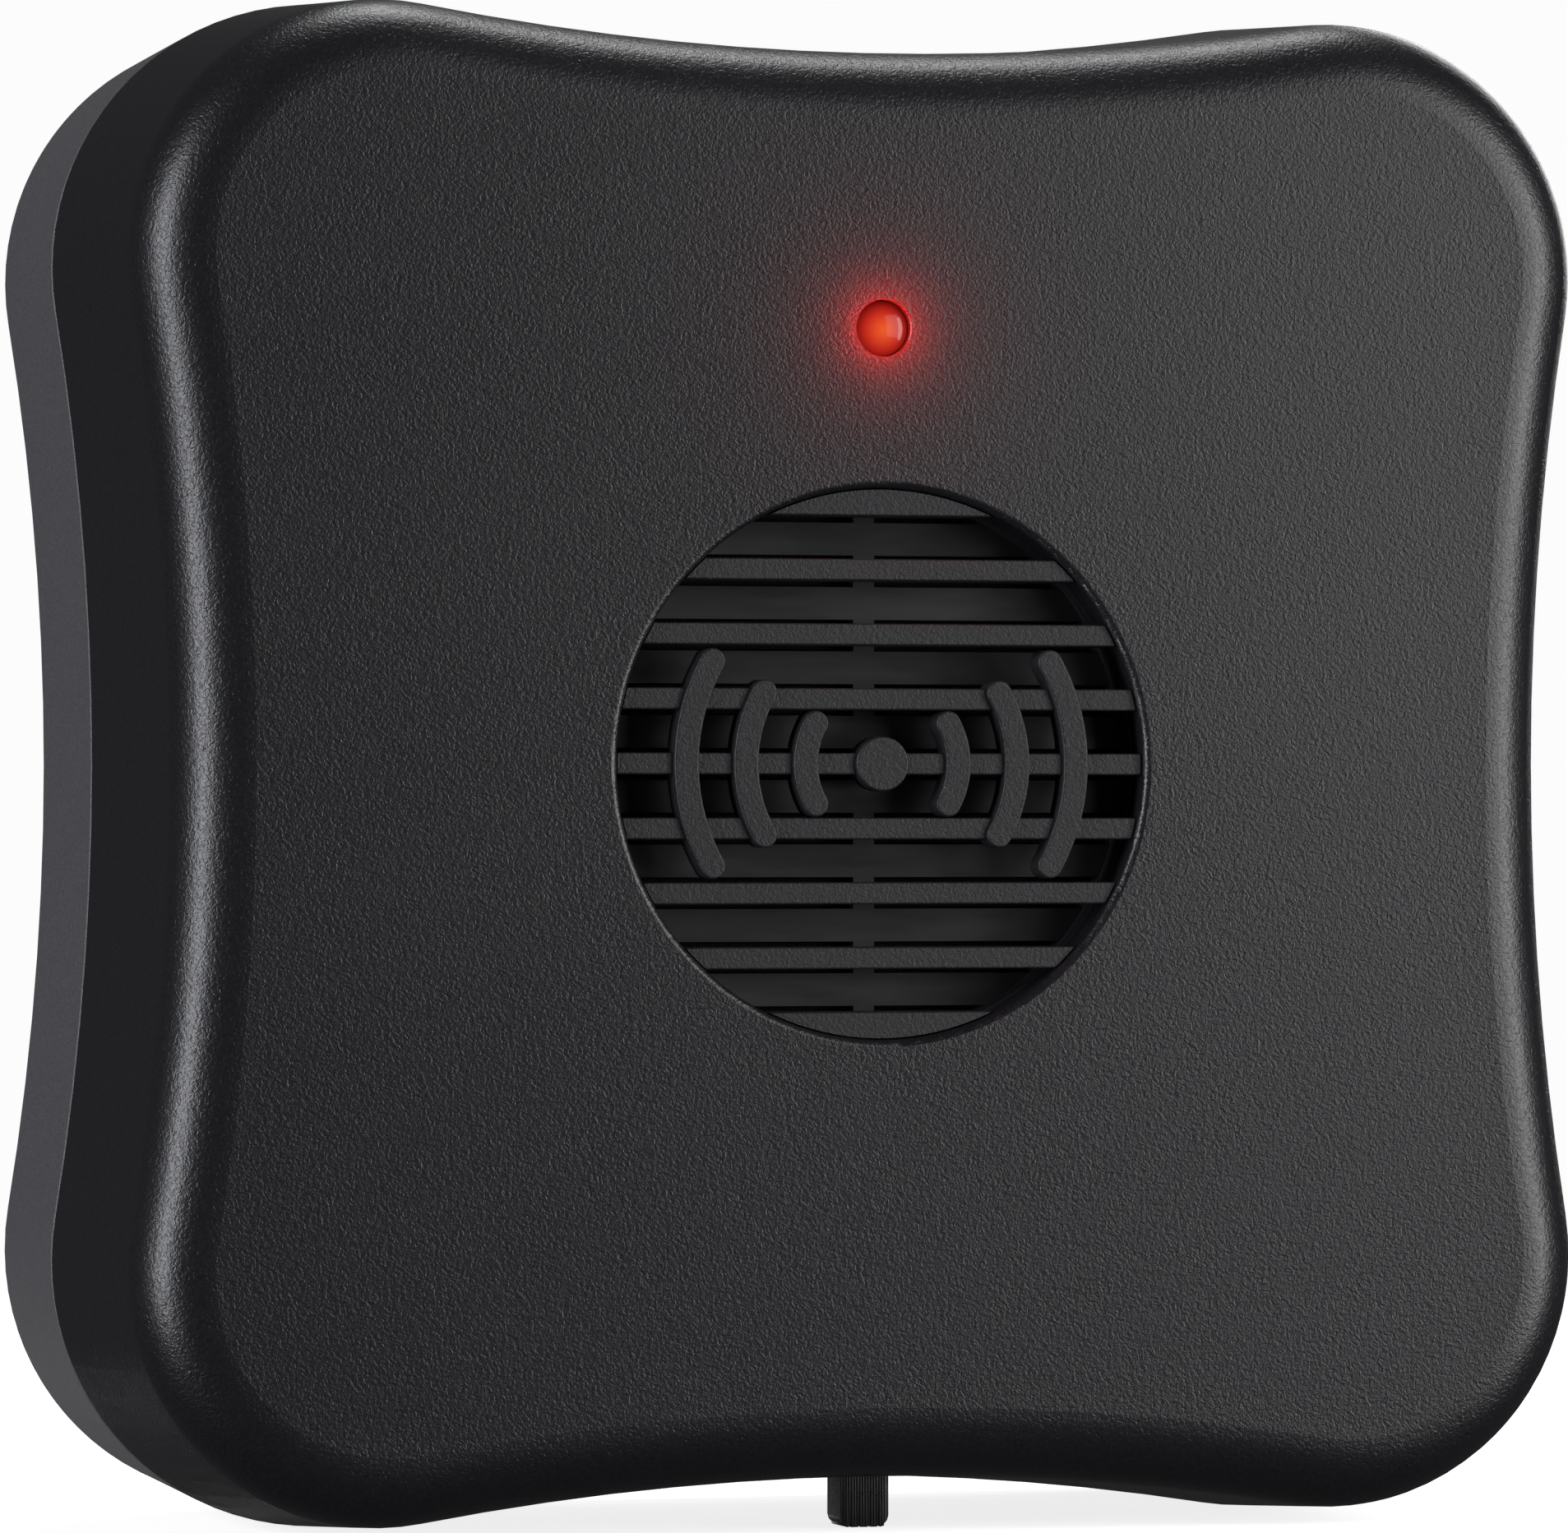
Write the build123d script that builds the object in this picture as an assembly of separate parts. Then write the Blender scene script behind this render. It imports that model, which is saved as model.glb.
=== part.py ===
from build123d import *
import math
import os

# Ultrasonic pest repeller: a square hand-sized case with concave sides, a round
# speaker grille and a red lamp in its face, a slide switch under its lower edge
# and three AA cells behind a hinged door in its back.
#
# Millimetres. +X is to the right, +Z is up and the face looks along -Y. The
# origin is under the middle of the case, level with its lowest point. Most
# places below are given as (across, behind the face, above the middle).

# ---- Case -------------------------------------------------------------------
case_width = 85.0
case_height = 85.0
front_depth = 18.5            # face to the seam between the two shells
corner_radius = 15.0
side_waist = 2.26             # how far each side curves in at its middle
front_draft = 3.65            # degrees
rear_draft = 2.26             # degrees
face_edge_radius = 4.0
back_edge_radius = 1.2
side_wall = 2.2
face_wall = 2.2
back_wall = 2.0
lip_clearance = 0.2           # rear shell's tongue inside the front shell
lip_thickness = 1.2
lip_height = 1.5
lip_band = 2.5                # thickened band that the tongue grows from
lip_root = 1.2                # how far the band starts inside the outer surface
seam_chamfer = 0.15           # on both shells, so the seam shows as a fine groove

# ---- Speaker grille ---------------------------------------------------------
grille_radius = 15.05
grille_gap = 0.1              # between the insert and its round opening
grille_recess = 0.45
grille_lip_radius = 0.4       # rounding of the opening's edge
bar_pitch = 3.55
bar_height = 1.2
bar_count = 7
bar_end_overlap = 0.6         # how far a bar runs into the flange
edge_softness = 0.12          # rounding of the bars' and arcs' front edges
flange_width = 2.95           # beyond the insert's edge
flange_thickness = 1.0
flange_seat_gap = 0.2         # flange to its locating ring
flange_seat_wall = 0.9
flange_seat_height = 1.8
arc_radii = (4.4, 7.8, 11.2)
arc_width = 1.4
arc_half_angle = 30.0         # degrees
arc_raise = 0.3               # arcs stand this far in front of the bars
arc_thickness = 1.5
dot_radius = 1.5

# ---- Louvre screen behind the bars ------------------------------------------
screen_thickness = 1.6
slat_height = 1.8
slat_setback = 0.5            # slats start behind the screen ring's front
centre_rib_width = 1.2

# ---- Transducer -------------------------------------------------------------
dust_cloth_thickness = 0.2
gasket_thickness = 0.5
gasket_width = 2.4
housing_margin = 0.5          # housing beyond the flange
housing_wall = 1.5
housing_gap = 1.1             # housing to the circuit board
housing_back = 1.2
ear_radius = 2.6
ear_thickness = 1.6
ear_offset = 3.3              # screws beyond the housing's wall
ear_angles = (30, 150, 270)
tapping_boss_radius = 2.2
screw_clearance = 0.2
thread_clearance = 0.03       # shank to pilot hole, radial
small_screw_radius = 0.9
small_screw_length = 4.6
small_head_radius = 1.75
small_head_height = 1.2
recess_width = 0.5            # cross recess in every screw head
recess_reach = 0.62           # its arms, as a share of the head's radius
shelf_width = 2.6
shelf_height = 1.6
piezo_margin = 1.5            # plate inside the housing's wall
piezo_thickness = 0.25
ceramic_radius = 11.0
ceramic_thickness = 0.25
cone_mouth_radius = 12.0
cone_throat_radius = 2.5
cone_height = 2.1
cone_skin = 0.3
wire_radius = 0.5
wire_spacing = 3.0
wire_bend = 1.7
wire_drop_start = 5.2         # how far out from the housing the wires turn in
wire_depth_in_housing = 2.9   # exit hole's centre, ahead of the housing's back

# ---- Lamp -------------------------------------------------------------------
lamp_offset = 8.85            # above the grille's edge
lamp_radius = 1.5
lamp_dome_height = 0.4        # a flat dome, so the lamp shows from the side
lamp_hole_gap = 0.06
lamp_hole_chamfer = 0.06
lamp_tip_setback = 0.02
lamp_length = 5.3
lamp_flange_width = 0.4
lamp_flange_height = 1.0
lamp_collar_wall = 1.35
lamp_collar_height = 1.4
lead_width = 0.5
lead_pitch = 2.54
lead_tail = 1.2               # leads stand out behind the board
lead_hole_gap = 0.15
spacer_margin = 0.2           # beyond the lamp's flange

# ---- Circuit board ----------------------------------------------------------
board_gap = 2.2               # to the battery bay's floor
board_thickness = 1.6
board_side_gap = 7.5          # inside the case's widest point
board_end_gap = 16.5          # inside the case's top and bottom
board_corner = 2.0
skirt_boss_gap = 5.5          # lower part of the board stops short of the bosses' axes
skirt_end_gap = 6.5
post_radius = 2.6
post_side_gap = 11.5
post_end_gap = 22.5
board_screw_radius = 1.1
board_screw_length = 7.0
board_head_radius = 2.1
board_head_height = 1.3

# ---- Parts on the board -----------------------------------------------------
chip_size = (6.2, 1.6, 5.0)
chip_place = (26.5, -13.5)
chip_leg_pitch = 1.27
chip_leg_width = 0.42
chip_leg_reach = 1.0
chip_leg_height = 0.5
chip_rows = 4
coil_place = (28.0, 3.0)
coil_core_radius = 2.0
coil_flange_radius = 4.0
coil_flange_height = 1.0
coil_length = 8.0
coil_winding_radius = 3.6
capacitor_places = ((-28.5, 9.5), (-18.5, -28.0))
capacitor_radius = 3.15
capacitor_length = 7.0
transistor_places = ((12.5, -28.0), (19.0, -28.0))
transistor_radius = 2.3
transistor_length = 4.6
transistor_flat = 1.3
resistor_place = (-10.5, -29.5)
resistor_pitch = 3.2
resistor_count = 2
resistor_radius = 0.9
resistor_length = 3.4
resistor_span = 7.0
resistor_lift = 1.2

# ---- Slide switch -----------------------------------------------------------
switch_travel = 2.9
knob_width = 2.8
knob_thickness = 2.5
knob_tip_clearance = 0.06     # tip above the case's lowest point
knob_corner = 0.5
knob_rib_count = 5
knob_rib_depth = 0.16
knob_slot_gap = 0.2           # round the knob in its slot, at both ends too
dust_plate_cover = 1.7        # plate beyond the slot's end at full travel
dust_plate_margin = 0.85
dust_plate_thickness = 0.8
dust_plate_lift = 1.4         # above the wall's inner face at its middle
actuator_width = 1.6
actuator_bite = 0.5           # how far the actuator enters the dust plate
can_gap = 0.4                 # can to the circuit board
can_thickness = 5.6
can_height = 5.4
can_wall = 0.4
can_lift = 1.5                # can above the dust plate
slider_width = 3.0
slider_height = 1.8
slider_gap = 0.2
slider_end_gap = 1.15
pin_pitch = 2.5
pin_width = 0.6
pin_tail = 1.0

# ---- Battery bay ------------------------------------------------------------
cell_radius = 7.1
cell_length = 50.2            # over the button
button_radius = 2.75
button_height = 1.0
sleeve_thickness = 0.2
sleeve_setback = 0.9          # sleeve stops short of each end of the can
cell_gap = 0.9
cell_side_clearance = 0.6
cell_floor_clearance = 0.3
cell_door_clearance = 0.4
cell_count = 3
bay_wall = 1.4
bay_floor = 1.4
bay_end_gap = 7.5             # inside of the bay above the case's lowest point
bay_reach = 2.1               # bay's floor stands out in front of the seam
spring_length = 6.0           # compressed
spring_wire = 0.3             # wire radius
spring_radius = 3.3           # at the plate
spring_taper = 6.0            # degrees
spring_turns = 4
contact_thickness = 0.4
contact_width = 10.5
contact_height = 9.0
tab_width = 3.0
tab_gap = 0.3
tab_stub = 0.7                # tab stands out in front of the board
divider_width = 0.9
divider_height = 3.0

# ---- Battery door -----------------------------------------------------------
door_thickness = 1.8
door_gap = 0.3
door_ledge = 0.5              # bay wall that the door's edge lies on
door_seat_gap = 0.1
hinge_radius = 1.6            # rounded top edge of the door
hinge_pin_radius = 0.8
hinge_pin_length = 1.6
hinge_pin_clearance = 0.05
hinge_offset = 1.2            # hinge axis above the bay's inside
cheek_width = 2.6
cheek_height = 5.4
latch_width = 12.0
latch_length = 8.0
latch_slit = 0.8
latch_nib_width = 7.0
latch_nib_reach = 0.2
latch_nib_thickness = 0.7
grip_count = 4
grip_pitch = 1.3
grip_depth = 0.35
finger_radius = 9.0
finger_depth = 1.3
finger_width = 13.0

# ---- Case screws ------------------------------------------------------------
boss_inset = 11.0             # axes inside the case's widest and highest points
front_boss_radius = 3.3
rear_boss_radius = 4.0
case_screw_radius = 1.3
case_screw_length = 14.0
case_head_radius = 2.6
case_head_height = 2.0
case_head_reach = 5.5         # head's seat behind the seam
case_head_clearance = 0.3
pilot_extra_depth = 1.0

# ---- Wall hangers -----------------------------------------------------------
hanger_spacing = 30.0
hanger_end_gap = 12.0         # round entry's centre below the case's top
hanger_entry_radius = 4.0
hanger_slot_radius = 2.0
hanger_slot_rise = 4.5
hanger_pocket_depth = 5.0
hanger_pocket_wall = 1.0
hanger_pocket_margin = 0.8

# ---- Worked out from the sizes above ----------------------------------------
bay_stack = bay_floor + cell_floor_clearance + 2 * cell_radius + cell_door_clearance
rear_depth = bay_stack + door_thickness - bay_reach
case_depth = front_depth + rear_depth
front_y = -case_depth / 2
mid_z = case_height / 2
half_width = case_width / 2
half_height = case_height / 2
boss_across = half_width - boss_inset
boss_above = half_height - boss_inset
case_head_depth = front_depth + case_head_reach

bay_inside = front_depth - bay_reach + bay_floor
cell_depth = bay_inside + cell_floor_clearance + cell_radius
cell_pitch = 2 * cell_radius + cell_gap
bay_half_width = (cell_count - 1) * cell_pitch / 2 + cell_radius + cell_side_clearance
bay_bottom = -half_height + bay_end_gap
bay_top = bay_bottom + cell_length + spring_length + 2 * contact_thickness

board_rear = front_depth - bay_reach - board_gap
board_front = board_rear - board_thickness
board_width = case_width - 2 * board_side_gap
board_half_height = half_height - board_end_gap
skirt_width = 2 * (boss_across - skirt_boss_gap)
skirt_reach = half_height - skirt_end_gap
post_across = half_width - post_side_gap
post_above = half_height - post_end_gap

segment_start = (bar_count + 1) / 2 * bar_pitch - bar_height / 2
flange_radius = grille_radius + flange_width
flange_front = face_wall
screen_front = flange_front + flange_thickness
dust_cloth_front = screen_front + screen_thickness
gasket_front = dust_cloth_front + dust_cloth_thickness
housing_front = gasket_front + gasket_thickness
housing_rear = board_front - housing_gap
housing_radius = flange_radius + housing_margin
ear_reach = housing_radius + ear_offset
piezo_radius = housing_radius - housing_wall - piezo_margin
piezo_front = housing_rear - housing_back - shelf_height - piezo_thickness
door_inside = case_depth - door_thickness
door_half_width = bay_half_width + door_ledge
hinge_depth = case_depth - hinge_radius
hinge_height = bay_top + hinge_offset
hanger_height = half_height - hanger_end_gap
opening_half_width = door_half_width + door_gap
opening_top = hinge_height + hinge_radius + door_gap
opening_bottom = bay_bottom - door_gap

switch_depth = board_front - can_gap - can_thickness / 2
switch_offset = switch_travel / 2
dust_plate_length = knob_width + 2 * (switch_travel + dust_plate_cover)
dust_plate_width = knob_thickness + 2 * (knob_slot_gap + dust_plate_margin)
can_width = slider_width + switch_travel + 2 * (slider_end_gap + can_wall)
switch_draft_rise = (front_depth - switch_depth) * math.tan(math.radians(front_draft))
wall_inside_height = -half_height + side_waist + side_wall + switch_draft_rise
plate_bottom = wall_inside_height + dust_plate_lift - dust_plate_thickness
can_bottom = plate_bottom + dust_plate_thickness + can_lift

lamp_height = grille_radius + lamp_offset
lamp_base = lamp_tip_setback + lamp_length
lamp_dome_curve = (lamp_radius ** 2 + lamp_dome_height ** 2) / (2 * lamp_dome_height)
lamp_hole_radius = lamp_radius + lamp_hole_gap
lamp_flange_radius = lamp_radius + lamp_flange_width
spacer_radius = lamp_flange_radius + spacer_margin


# ---- Building blocks --------------------------------------------------------
def place(across, behind, above):
    """A location given across, behind the face and above the middle."""
    return Pos(across, front_y + behind, mid_z + above)


def disc(radius, start, end, across=0.0, above=0.0):
    """A cylinder along Y between two depths behind the face."""
    turned = Rot(90, 0, 0) * Cylinder(radius, end - start)
    return place(across, (start + end) / 2, above) * turned


def ring(outer, inner, start, end, across=0.0, above=0.0):
    """A tube along Y between two depths behind the face."""
    return disc(outer, start, end, across, above) - disc(inner, start, end, across, above)


def block(across, behind, above):
    """A box from three (low, high) pairs."""
    size = [pair[1] - pair[0] for pair in (across, behind, above)]
    middle = [sum(pair) / 2 for pair in (across, behind, above)]
    return place(*middle) * Box(*size)


def rod_across(radius, start, end, behind, above):
    """A cylinder along X."""
    return place((start + end) / 2, behind, above) * (Rot(0, 90, 0) * Cylinder(radius, end - start))


def prism(sketch, start, end):
    """A sketch drawn as (across, above), stretched between two depths."""
    face_plane = Plane(origin=(0, front_y + end, mid_z), x_dir=(1, 0, 0), z_dir=(0, -1, 0))
    return extrude(face_plane * sketch, amount=end - start)


def four_corners(across, above):
    """The four mirrored places of a corner feature."""
    return [(x * across, z * above) for z in (1, -1) for x in (-1, 1)]


def case_outline(inset):
    """The case's outline, moved in by inset: round corners joined by concave arcs."""
    centre_x = half_width - corner_radius
    centre_z = half_height - corner_radius
    corner = corner_radius - inset
    points = []
    for reach, along in ((half_width, centre_z), (half_height, centre_x)):
        bow = ((corner_radius - side_waist) ** 2 + along ** 2 - corner_radius ** 2) / (2 * side_waist)
        run = reach - side_waist + bow - (reach - corner_radius)
        turn = math.atan2(along, run)
        points.append(turn)
    side_turn, top_turn = points

    def corner_point(x, z, angle):
        return (x * (centre_x + corner * math.cos(angle)), z * (centre_z + corner * math.sin(angle)))

    edges = []
    for x, z in ((1, 1), (-1, 1), (-1, -1), (1, -1)):
        start = corner_point(x, z, -side_turn)
        middle = corner_point(x, z, math.pi / 4)
        end = corner_point(x, z, math.pi / 2 + top_turn)
        edges.append(ThreePointArc(start, middle, end))
    for x in (1, -1):
        upper = corner_point(x, 1, -side_turn)
        lower = corner_point(x, -1, -side_turn)
        edges.append(ThreePointArc(upper, (x * (half_width - side_waist - inset), 0), lower))
    for z in (1, -1):
        right = corner_point(1, z, math.pi / 2 + top_turn)
        left = corner_point(-1, z, math.pi / 2 + top_turn)
        edges.append(ThreePointArc(right, (0, z * (half_height - side_waist - inset)), left))
    return make_face(edges)


def drafted(inset, start, end, draft):
    """The case outline stretched from one depth to another, narrowing as it goes."""
    away = 1 if end > start else -1
    plane = Plane(origin=(0, front_y + start, mid_z), x_dir=(1, 0, 0), z_dir=(0, away, 0))
    return extrude(plane * case_outline(inset), amount=abs(end - start), taper=draft)


def screw(across, above, seat, head_radius, head_height, shank_radius, length):
    """A cross-recessed screw put in from behind, its head's underside at depth seat."""
    head = disc(head_radius, seat, seat + head_height, across, above)
    head = fillet(head.edges().sort_by(Axis.Y)[-1], head_height * 0.4)
    shank = disc(shank_radius, seat - length, seat, across, above)
    shank = chamfer(shank.edges().sort_by(Axis.Y)[0], shank_radius * 0.5)
    arm = head_radius * recess_reach
    top = (seat + head_height * 0.45, seat + head_height + 1)
    near_x = (across - recess_width / 2, across + recess_width / 2)
    near_z = (above - recess_width / 2, above + recess_width / 2)
    recess = block((across - arm, across + arm), top, near_z)
    recess += block(near_x, top, (above - arm, above + arm))
    return head + shank - recess


# ---- Case shells ------------------------------------------------------------
def make_front_shell():
    """The front half of the case: face, sides, bosses and posts in one moulding."""
    outer = drafted(0, front_depth, 0, front_draft)
    outer = fillet(outer.edges().group_by(Axis.Y)[0], face_edge_radius)
    outer = chamfer(outer.edges().group_by(Axis.Y)[-1], seam_chamfer)
    inner = drafted(side_wall, front_depth, face_wall, front_draft)
    inner = fillet(inner.edges().group_by(Axis.Y)[0], face_edge_radius - face_wall)
    shell = outer - inner

    for x, z in four_corners(boss_across, boss_above):
        shell += disc(front_boss_radius, face_wall / 2, front_depth, x, z)
        pilot_end = case_head_depth - case_screw_length - pilot_extra_depth
        shell -= disc(case_screw_radius + thread_clearance, pilot_end, front_depth, x, z)
    for x, z in four_corners(post_across, post_above):
        shell += disc(post_radius, face_wall / 2, board_front, x, z)
        pilot_end = board_rear - board_screw_length - pilot_extra_depth
        shell -= disc(board_screw_radius + thread_clearance, pilot_end, board_front, x, z)
    for x, z in ear_places():
        shell += disc(tapping_boss_radius, face_wall / 2, housing_front, x, z)
        pilot_end = max(housing_front + ear_thickness - small_screw_length - pilot_extra_depth,
                        face_wall / 2)
        shell -= disc(small_screw_radius + thread_clearance, pilot_end, housing_front, x, z)

    seat_inner = flange_radius + flange_seat_gap
    shell += ring(seat_inner + flange_seat_wall, seat_inner, face_wall / 2,
                  face_wall + flange_seat_height)
    shell += disc(lamp_hole_radius + lamp_collar_wall, face_wall / 2,
                  face_wall + lamp_collar_height, 0, lamp_height)

    opening = disc(grille_radius + grille_gap, -1, face_wall + flange_seat_height)
    shell -= opening
    shell -= disc(seat_inner, face_wall, face_wall + flange_seat_height)
    rim = shell.edges().filter_by(GeomType.CIRCLE).group_by(Axis.Y)[0].sort_by(SortBy.LENGTH)
    shell = fillet(rim[-1], grille_lip_radius)
    shell -= disc(lamp_hole_radius, -1, face_wall + lamp_collar_height, 0, lamp_height)
    mouth = Cone(lamp_hole_radius + 2 * lamp_hole_chamfer, lamp_hole_radius, 2 * lamp_hole_chamfer)
    shell -= place(0, 0, lamp_height) * (Rot(-90, 0, 0) * mouth)
    return shell - switch_slot()


def switch_slot():
    """The slot in the case's lower wall that the switch knob slides in."""
    reach = switch_travel / 2 + knob_width / 2 + knob_slot_gap
    half = knob_thickness / 2 + knob_slot_gap
    return block((-reach, reach), (switch_depth - half, switch_depth + half),
                 (-half_height - 1, wall_inside_height + side_wall))


def make_rear_shell():
    """The back half of the case: tongue, battery bay, hinge cheeks and wall hangers."""
    outer = drafted(0, front_depth, case_depth, rear_draft)
    outer = fillet(outer.edges().group_by(Axis.Y)[-1], back_edge_radius)
    outer = chamfer(outer.edges().group_by(Axis.Y)[0], seam_chamfer)
    inner = drafted(side_wall, front_depth, case_depth - back_wall, rear_draft)
    shell = outer - inner

    lip_outer = side_wall + lip_clearance
    lip_inner = lip_outer + lip_thickness
    band_end = front_depth + lip_band
    shell += prism(case_outline(lip_root), front_depth, band_end) - prism(
        case_outline(lip_inner), front_depth, band_end)
    shell += prism(case_outline(lip_outer), front_depth - lip_height, front_depth) - prism(
        case_outline(lip_inner), front_depth - lip_height, front_depth)

    for x, z in four_corners(boss_across, boss_above):
        shell += disc(rear_boss_radius, front_depth, case_depth - back_wall / 2, x, z)
    shell += hanger_pockets()
    shell += bay_box()
    shell -= bay_hollow()
    for x, z in four_corners(boss_across, boss_above):
        shell -= disc(case_screw_radius + screw_clearance, front_depth - 1, case_depth, x, z)
        shell -= disc(case_head_radius + case_head_clearance, case_head_depth, case_depth + 1, x, z)
        shell -= disc(front_boss_radius + lip_clearance, bay_inside - bay_floor - 1, front_depth, x, z)
    shell -= hanger_hollows()
    shell -= finger_scoop()
    for x in (-1, 1):
        pin_end = door_half_width + hinge_pin_length + door_gap
        ends = sorted((x * (door_half_width - 1), x * pin_end))
        shell -= rod_across(hinge_pin_radius + hinge_pin_clearance, *ends, hinge_depth, hinge_height)
    return shell


def bay_box():
    """The solid that the battery bay and its door opening are hollowed out of."""
    outer = bay_half_width + bay_wall
    box = block((-outer, outer), (bay_inside - bay_floor, case_depth - back_wall / 2),
                (bay_bottom - bay_wall, bay_top + bay_wall))
    cheek = opening_half_width + cheek_width
    box += block((-cheek, cheek), (hinge_depth - cheek_height / 2, case_depth - back_wall / 2),
                 (hinge_height - cheek_height / 2, hinge_height + cheek_height / 2))
    return box


def bay_hollow():
    """The room for the cells, the door and the rounded edge that the door turns on."""
    hollow = block((-bay_half_width, bay_half_width), (bay_inside, case_depth + 1),
                   (bay_bottom, bay_top))
    for x in (-cell_pitch / 2, cell_pitch / 2):
        hollow -= block((x - divider_width / 2, x + divider_width / 2),
                        (bay_inside, bay_inside + divider_height),
                        (bay_bottom + contact_height, bay_top - contact_height))
    hollow += block((-opening_half_width, opening_half_width),
                    (door_inside - door_seat_gap, case_depth + 1), (opening_bottom, hinge_height))
    seat = hinge_radius + door_gap
    hollow += rod_across(seat, -opening_half_width, opening_half_width, hinge_depth, hinge_height)
    hollow += block((-opening_half_width, opening_half_width), (hinge_depth, case_depth + 1),
                    (hinge_height, opening_top))
    groove = latch_nib_reach + 0.1
    hollow += block((-latch_nib_width / 2 - door_gap, latch_nib_width / 2 + door_gap),
                    (nib_middle() - latch_nib_thickness, nib_middle() + latch_nib_thickness),
                    (opening_bottom - groove, opening_bottom + 1))
    for across, above in (tab_place(0, 1), tab_place(cell_count - 1, -1)):
        half = tab_width / 2 + tab_gap
        edge = contact_thickness + tab_gap
        low = above - edge if above > 0 else above
        hollow += block((across - half, across + half), (bay_inside - bay_floor - 1, bay_inside + 1),
                        (low, low + edge))
    return hollow


def tab_place(cell, end):
    """Across and above of a contact's solder tab: end is 1 at the bay's top, -1 at its bottom."""
    return cell_across(cell), bay_top if end > 0 else bay_bottom


def nib_middle():
    """Depth of the latch nib's middle behind the face."""
    return door_inside + door_thickness * 0.45


def finger_scoop():
    """The shallow dish below the door that a fingertip goes in."""
    centre = case_depth + finger_radius - finger_depth
    dish = rod_across(finger_radius, -finger_width / 2, finger_width / 2, centre, opening_bottom)
    return dish & block((-finger_width, finger_width), (door_inside - 1, case_depth + 1),
                        (opening_bottom - finger_radius, opening_bottom + door_gap))


def hanger_outline(side, margin):
    """Keyhole outline, or with a margin the pocket round it."""
    across = side * hanger_spacing / 2
    if margin:
        half = hanger_entry_radius + margin
        low = hanger_height - half
        high = hanger_height + hanger_slot_rise + hanger_slot_radius + margin
        return Pos(across, (low + high) / 2) * Rectangle(2 * half, high - low)
    slot = Pos(across, hanger_height + hanger_slot_rise / 2) * Rectangle(
        2 * hanger_slot_radius, hanger_slot_rise)
    end = Pos(across, hanger_height + hanger_slot_rise) * Circle(hanger_slot_radius)
    return Pos(across, hanger_height) * Circle(hanger_entry_radius) + slot + end


def hanger_pockets():
    """The two closed boxes behind the keyholes, before they are hollowed."""
    front = case_depth - back_wall - hanger_pocket_depth - hanger_pocket_wall
    pockets = [prism(hanger_outline(side, hanger_pocket_margin + hanger_pocket_wall), front,
                     case_depth - back_wall / 2) for side in (-1, 1)]
    return pockets[0] + pockets[1]


def hanger_hollows():
    """The keyholes and the room for a screw's head behind each."""
    front = case_depth - back_wall - hanger_pocket_depth
    hollows = prism(hanger_outline(-1, 0), front, case_depth + 1)
    hollows += prism(hanger_outline(1, 0), front, case_depth + 1)
    for side in (-1, 1):
        hollows += prism(hanger_outline(side, hanger_pocket_margin), front, case_depth - back_wall)
    return hollows


# ---- Grille and screen ------------------------------------------------------
def make_speaker_grille():
    """The round insert: level bars, blank segments, a flange and raised sound arcs."""
    bars = []
    half_count = (bar_count - 1) / 2
    for i in range(bar_count):
        bars.append(Pos(0, (i - half_count) * bar_pitch) * Rectangle(2 * flange_radius, bar_height))
    for end in (-1, 1):
        middle = end * (segment_start + flange_radius) / 2
        bars.append(Pos(0, middle) * Rectangle(2 * flange_radius, flange_radius - segment_start))
    slats = bars[0]
    for bar in bars[1:]:
        slats += bar
    grille = prism(slats & Circle(grille_radius), grille_recess, flange_front)
    grille = fillet(grille.edges().filter_by(Axis.X).group_by(Axis.Y)[0], edge_softness)
    grille += prism(slats & Circle(grille_radius + bar_end_overlap), flange_front, screen_front)
    grille += ring(flange_radius, grille_radius, flange_front, screen_front)
    arcs_front = grille_recess - arc_raise
    arcs = prism(sound_arcs(), arcs_front, arcs_front + arc_thickness)
    return grille + fillet(arcs.edges().group_by(Axis.Y)[0], edge_softness)


def sound_arcs():
    """A dot between matching pairs of arcs, as a plain picture of sound."""
    picture = Circle(dot_radius)
    for radius in arc_radii:
        for side in (0, 180):
            arc = CenterArc((0, 0), radius, side - arc_half_angle, 2 * arc_half_angle)
            picture += SlotArc(arc, arc_width)
    return picture


def make_louvre_screen():
    """The smooth slats that stand behind the gaps between the bars."""
    screen = ring(flange_radius, grille_radius, screen_front, dust_cloth_front)
    slats = Rectangle(centre_rib_width, 2 * grille_radius + bar_end_overlap)
    half_count = bar_count / 2
    for i in range(bar_count + 1):
        slats += Pos(0, (i - half_count) * bar_pitch) * Rectangle(2 * flange_radius, slat_height)
    slats = slats & Circle(grille_radius + bar_end_overlap)
    return screen + prism(slats, screen_front + slat_setback, dust_cloth_front)


# ---- Transducer -------------------------------------------------------------
def ear_places():
    """Screw places round the transducer housing."""
    turns = [math.radians(angle) for angle in ear_angles]
    return [(ear_reach * math.cos(turn), ear_reach * math.sin(turn)) for turn in turns]


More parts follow.
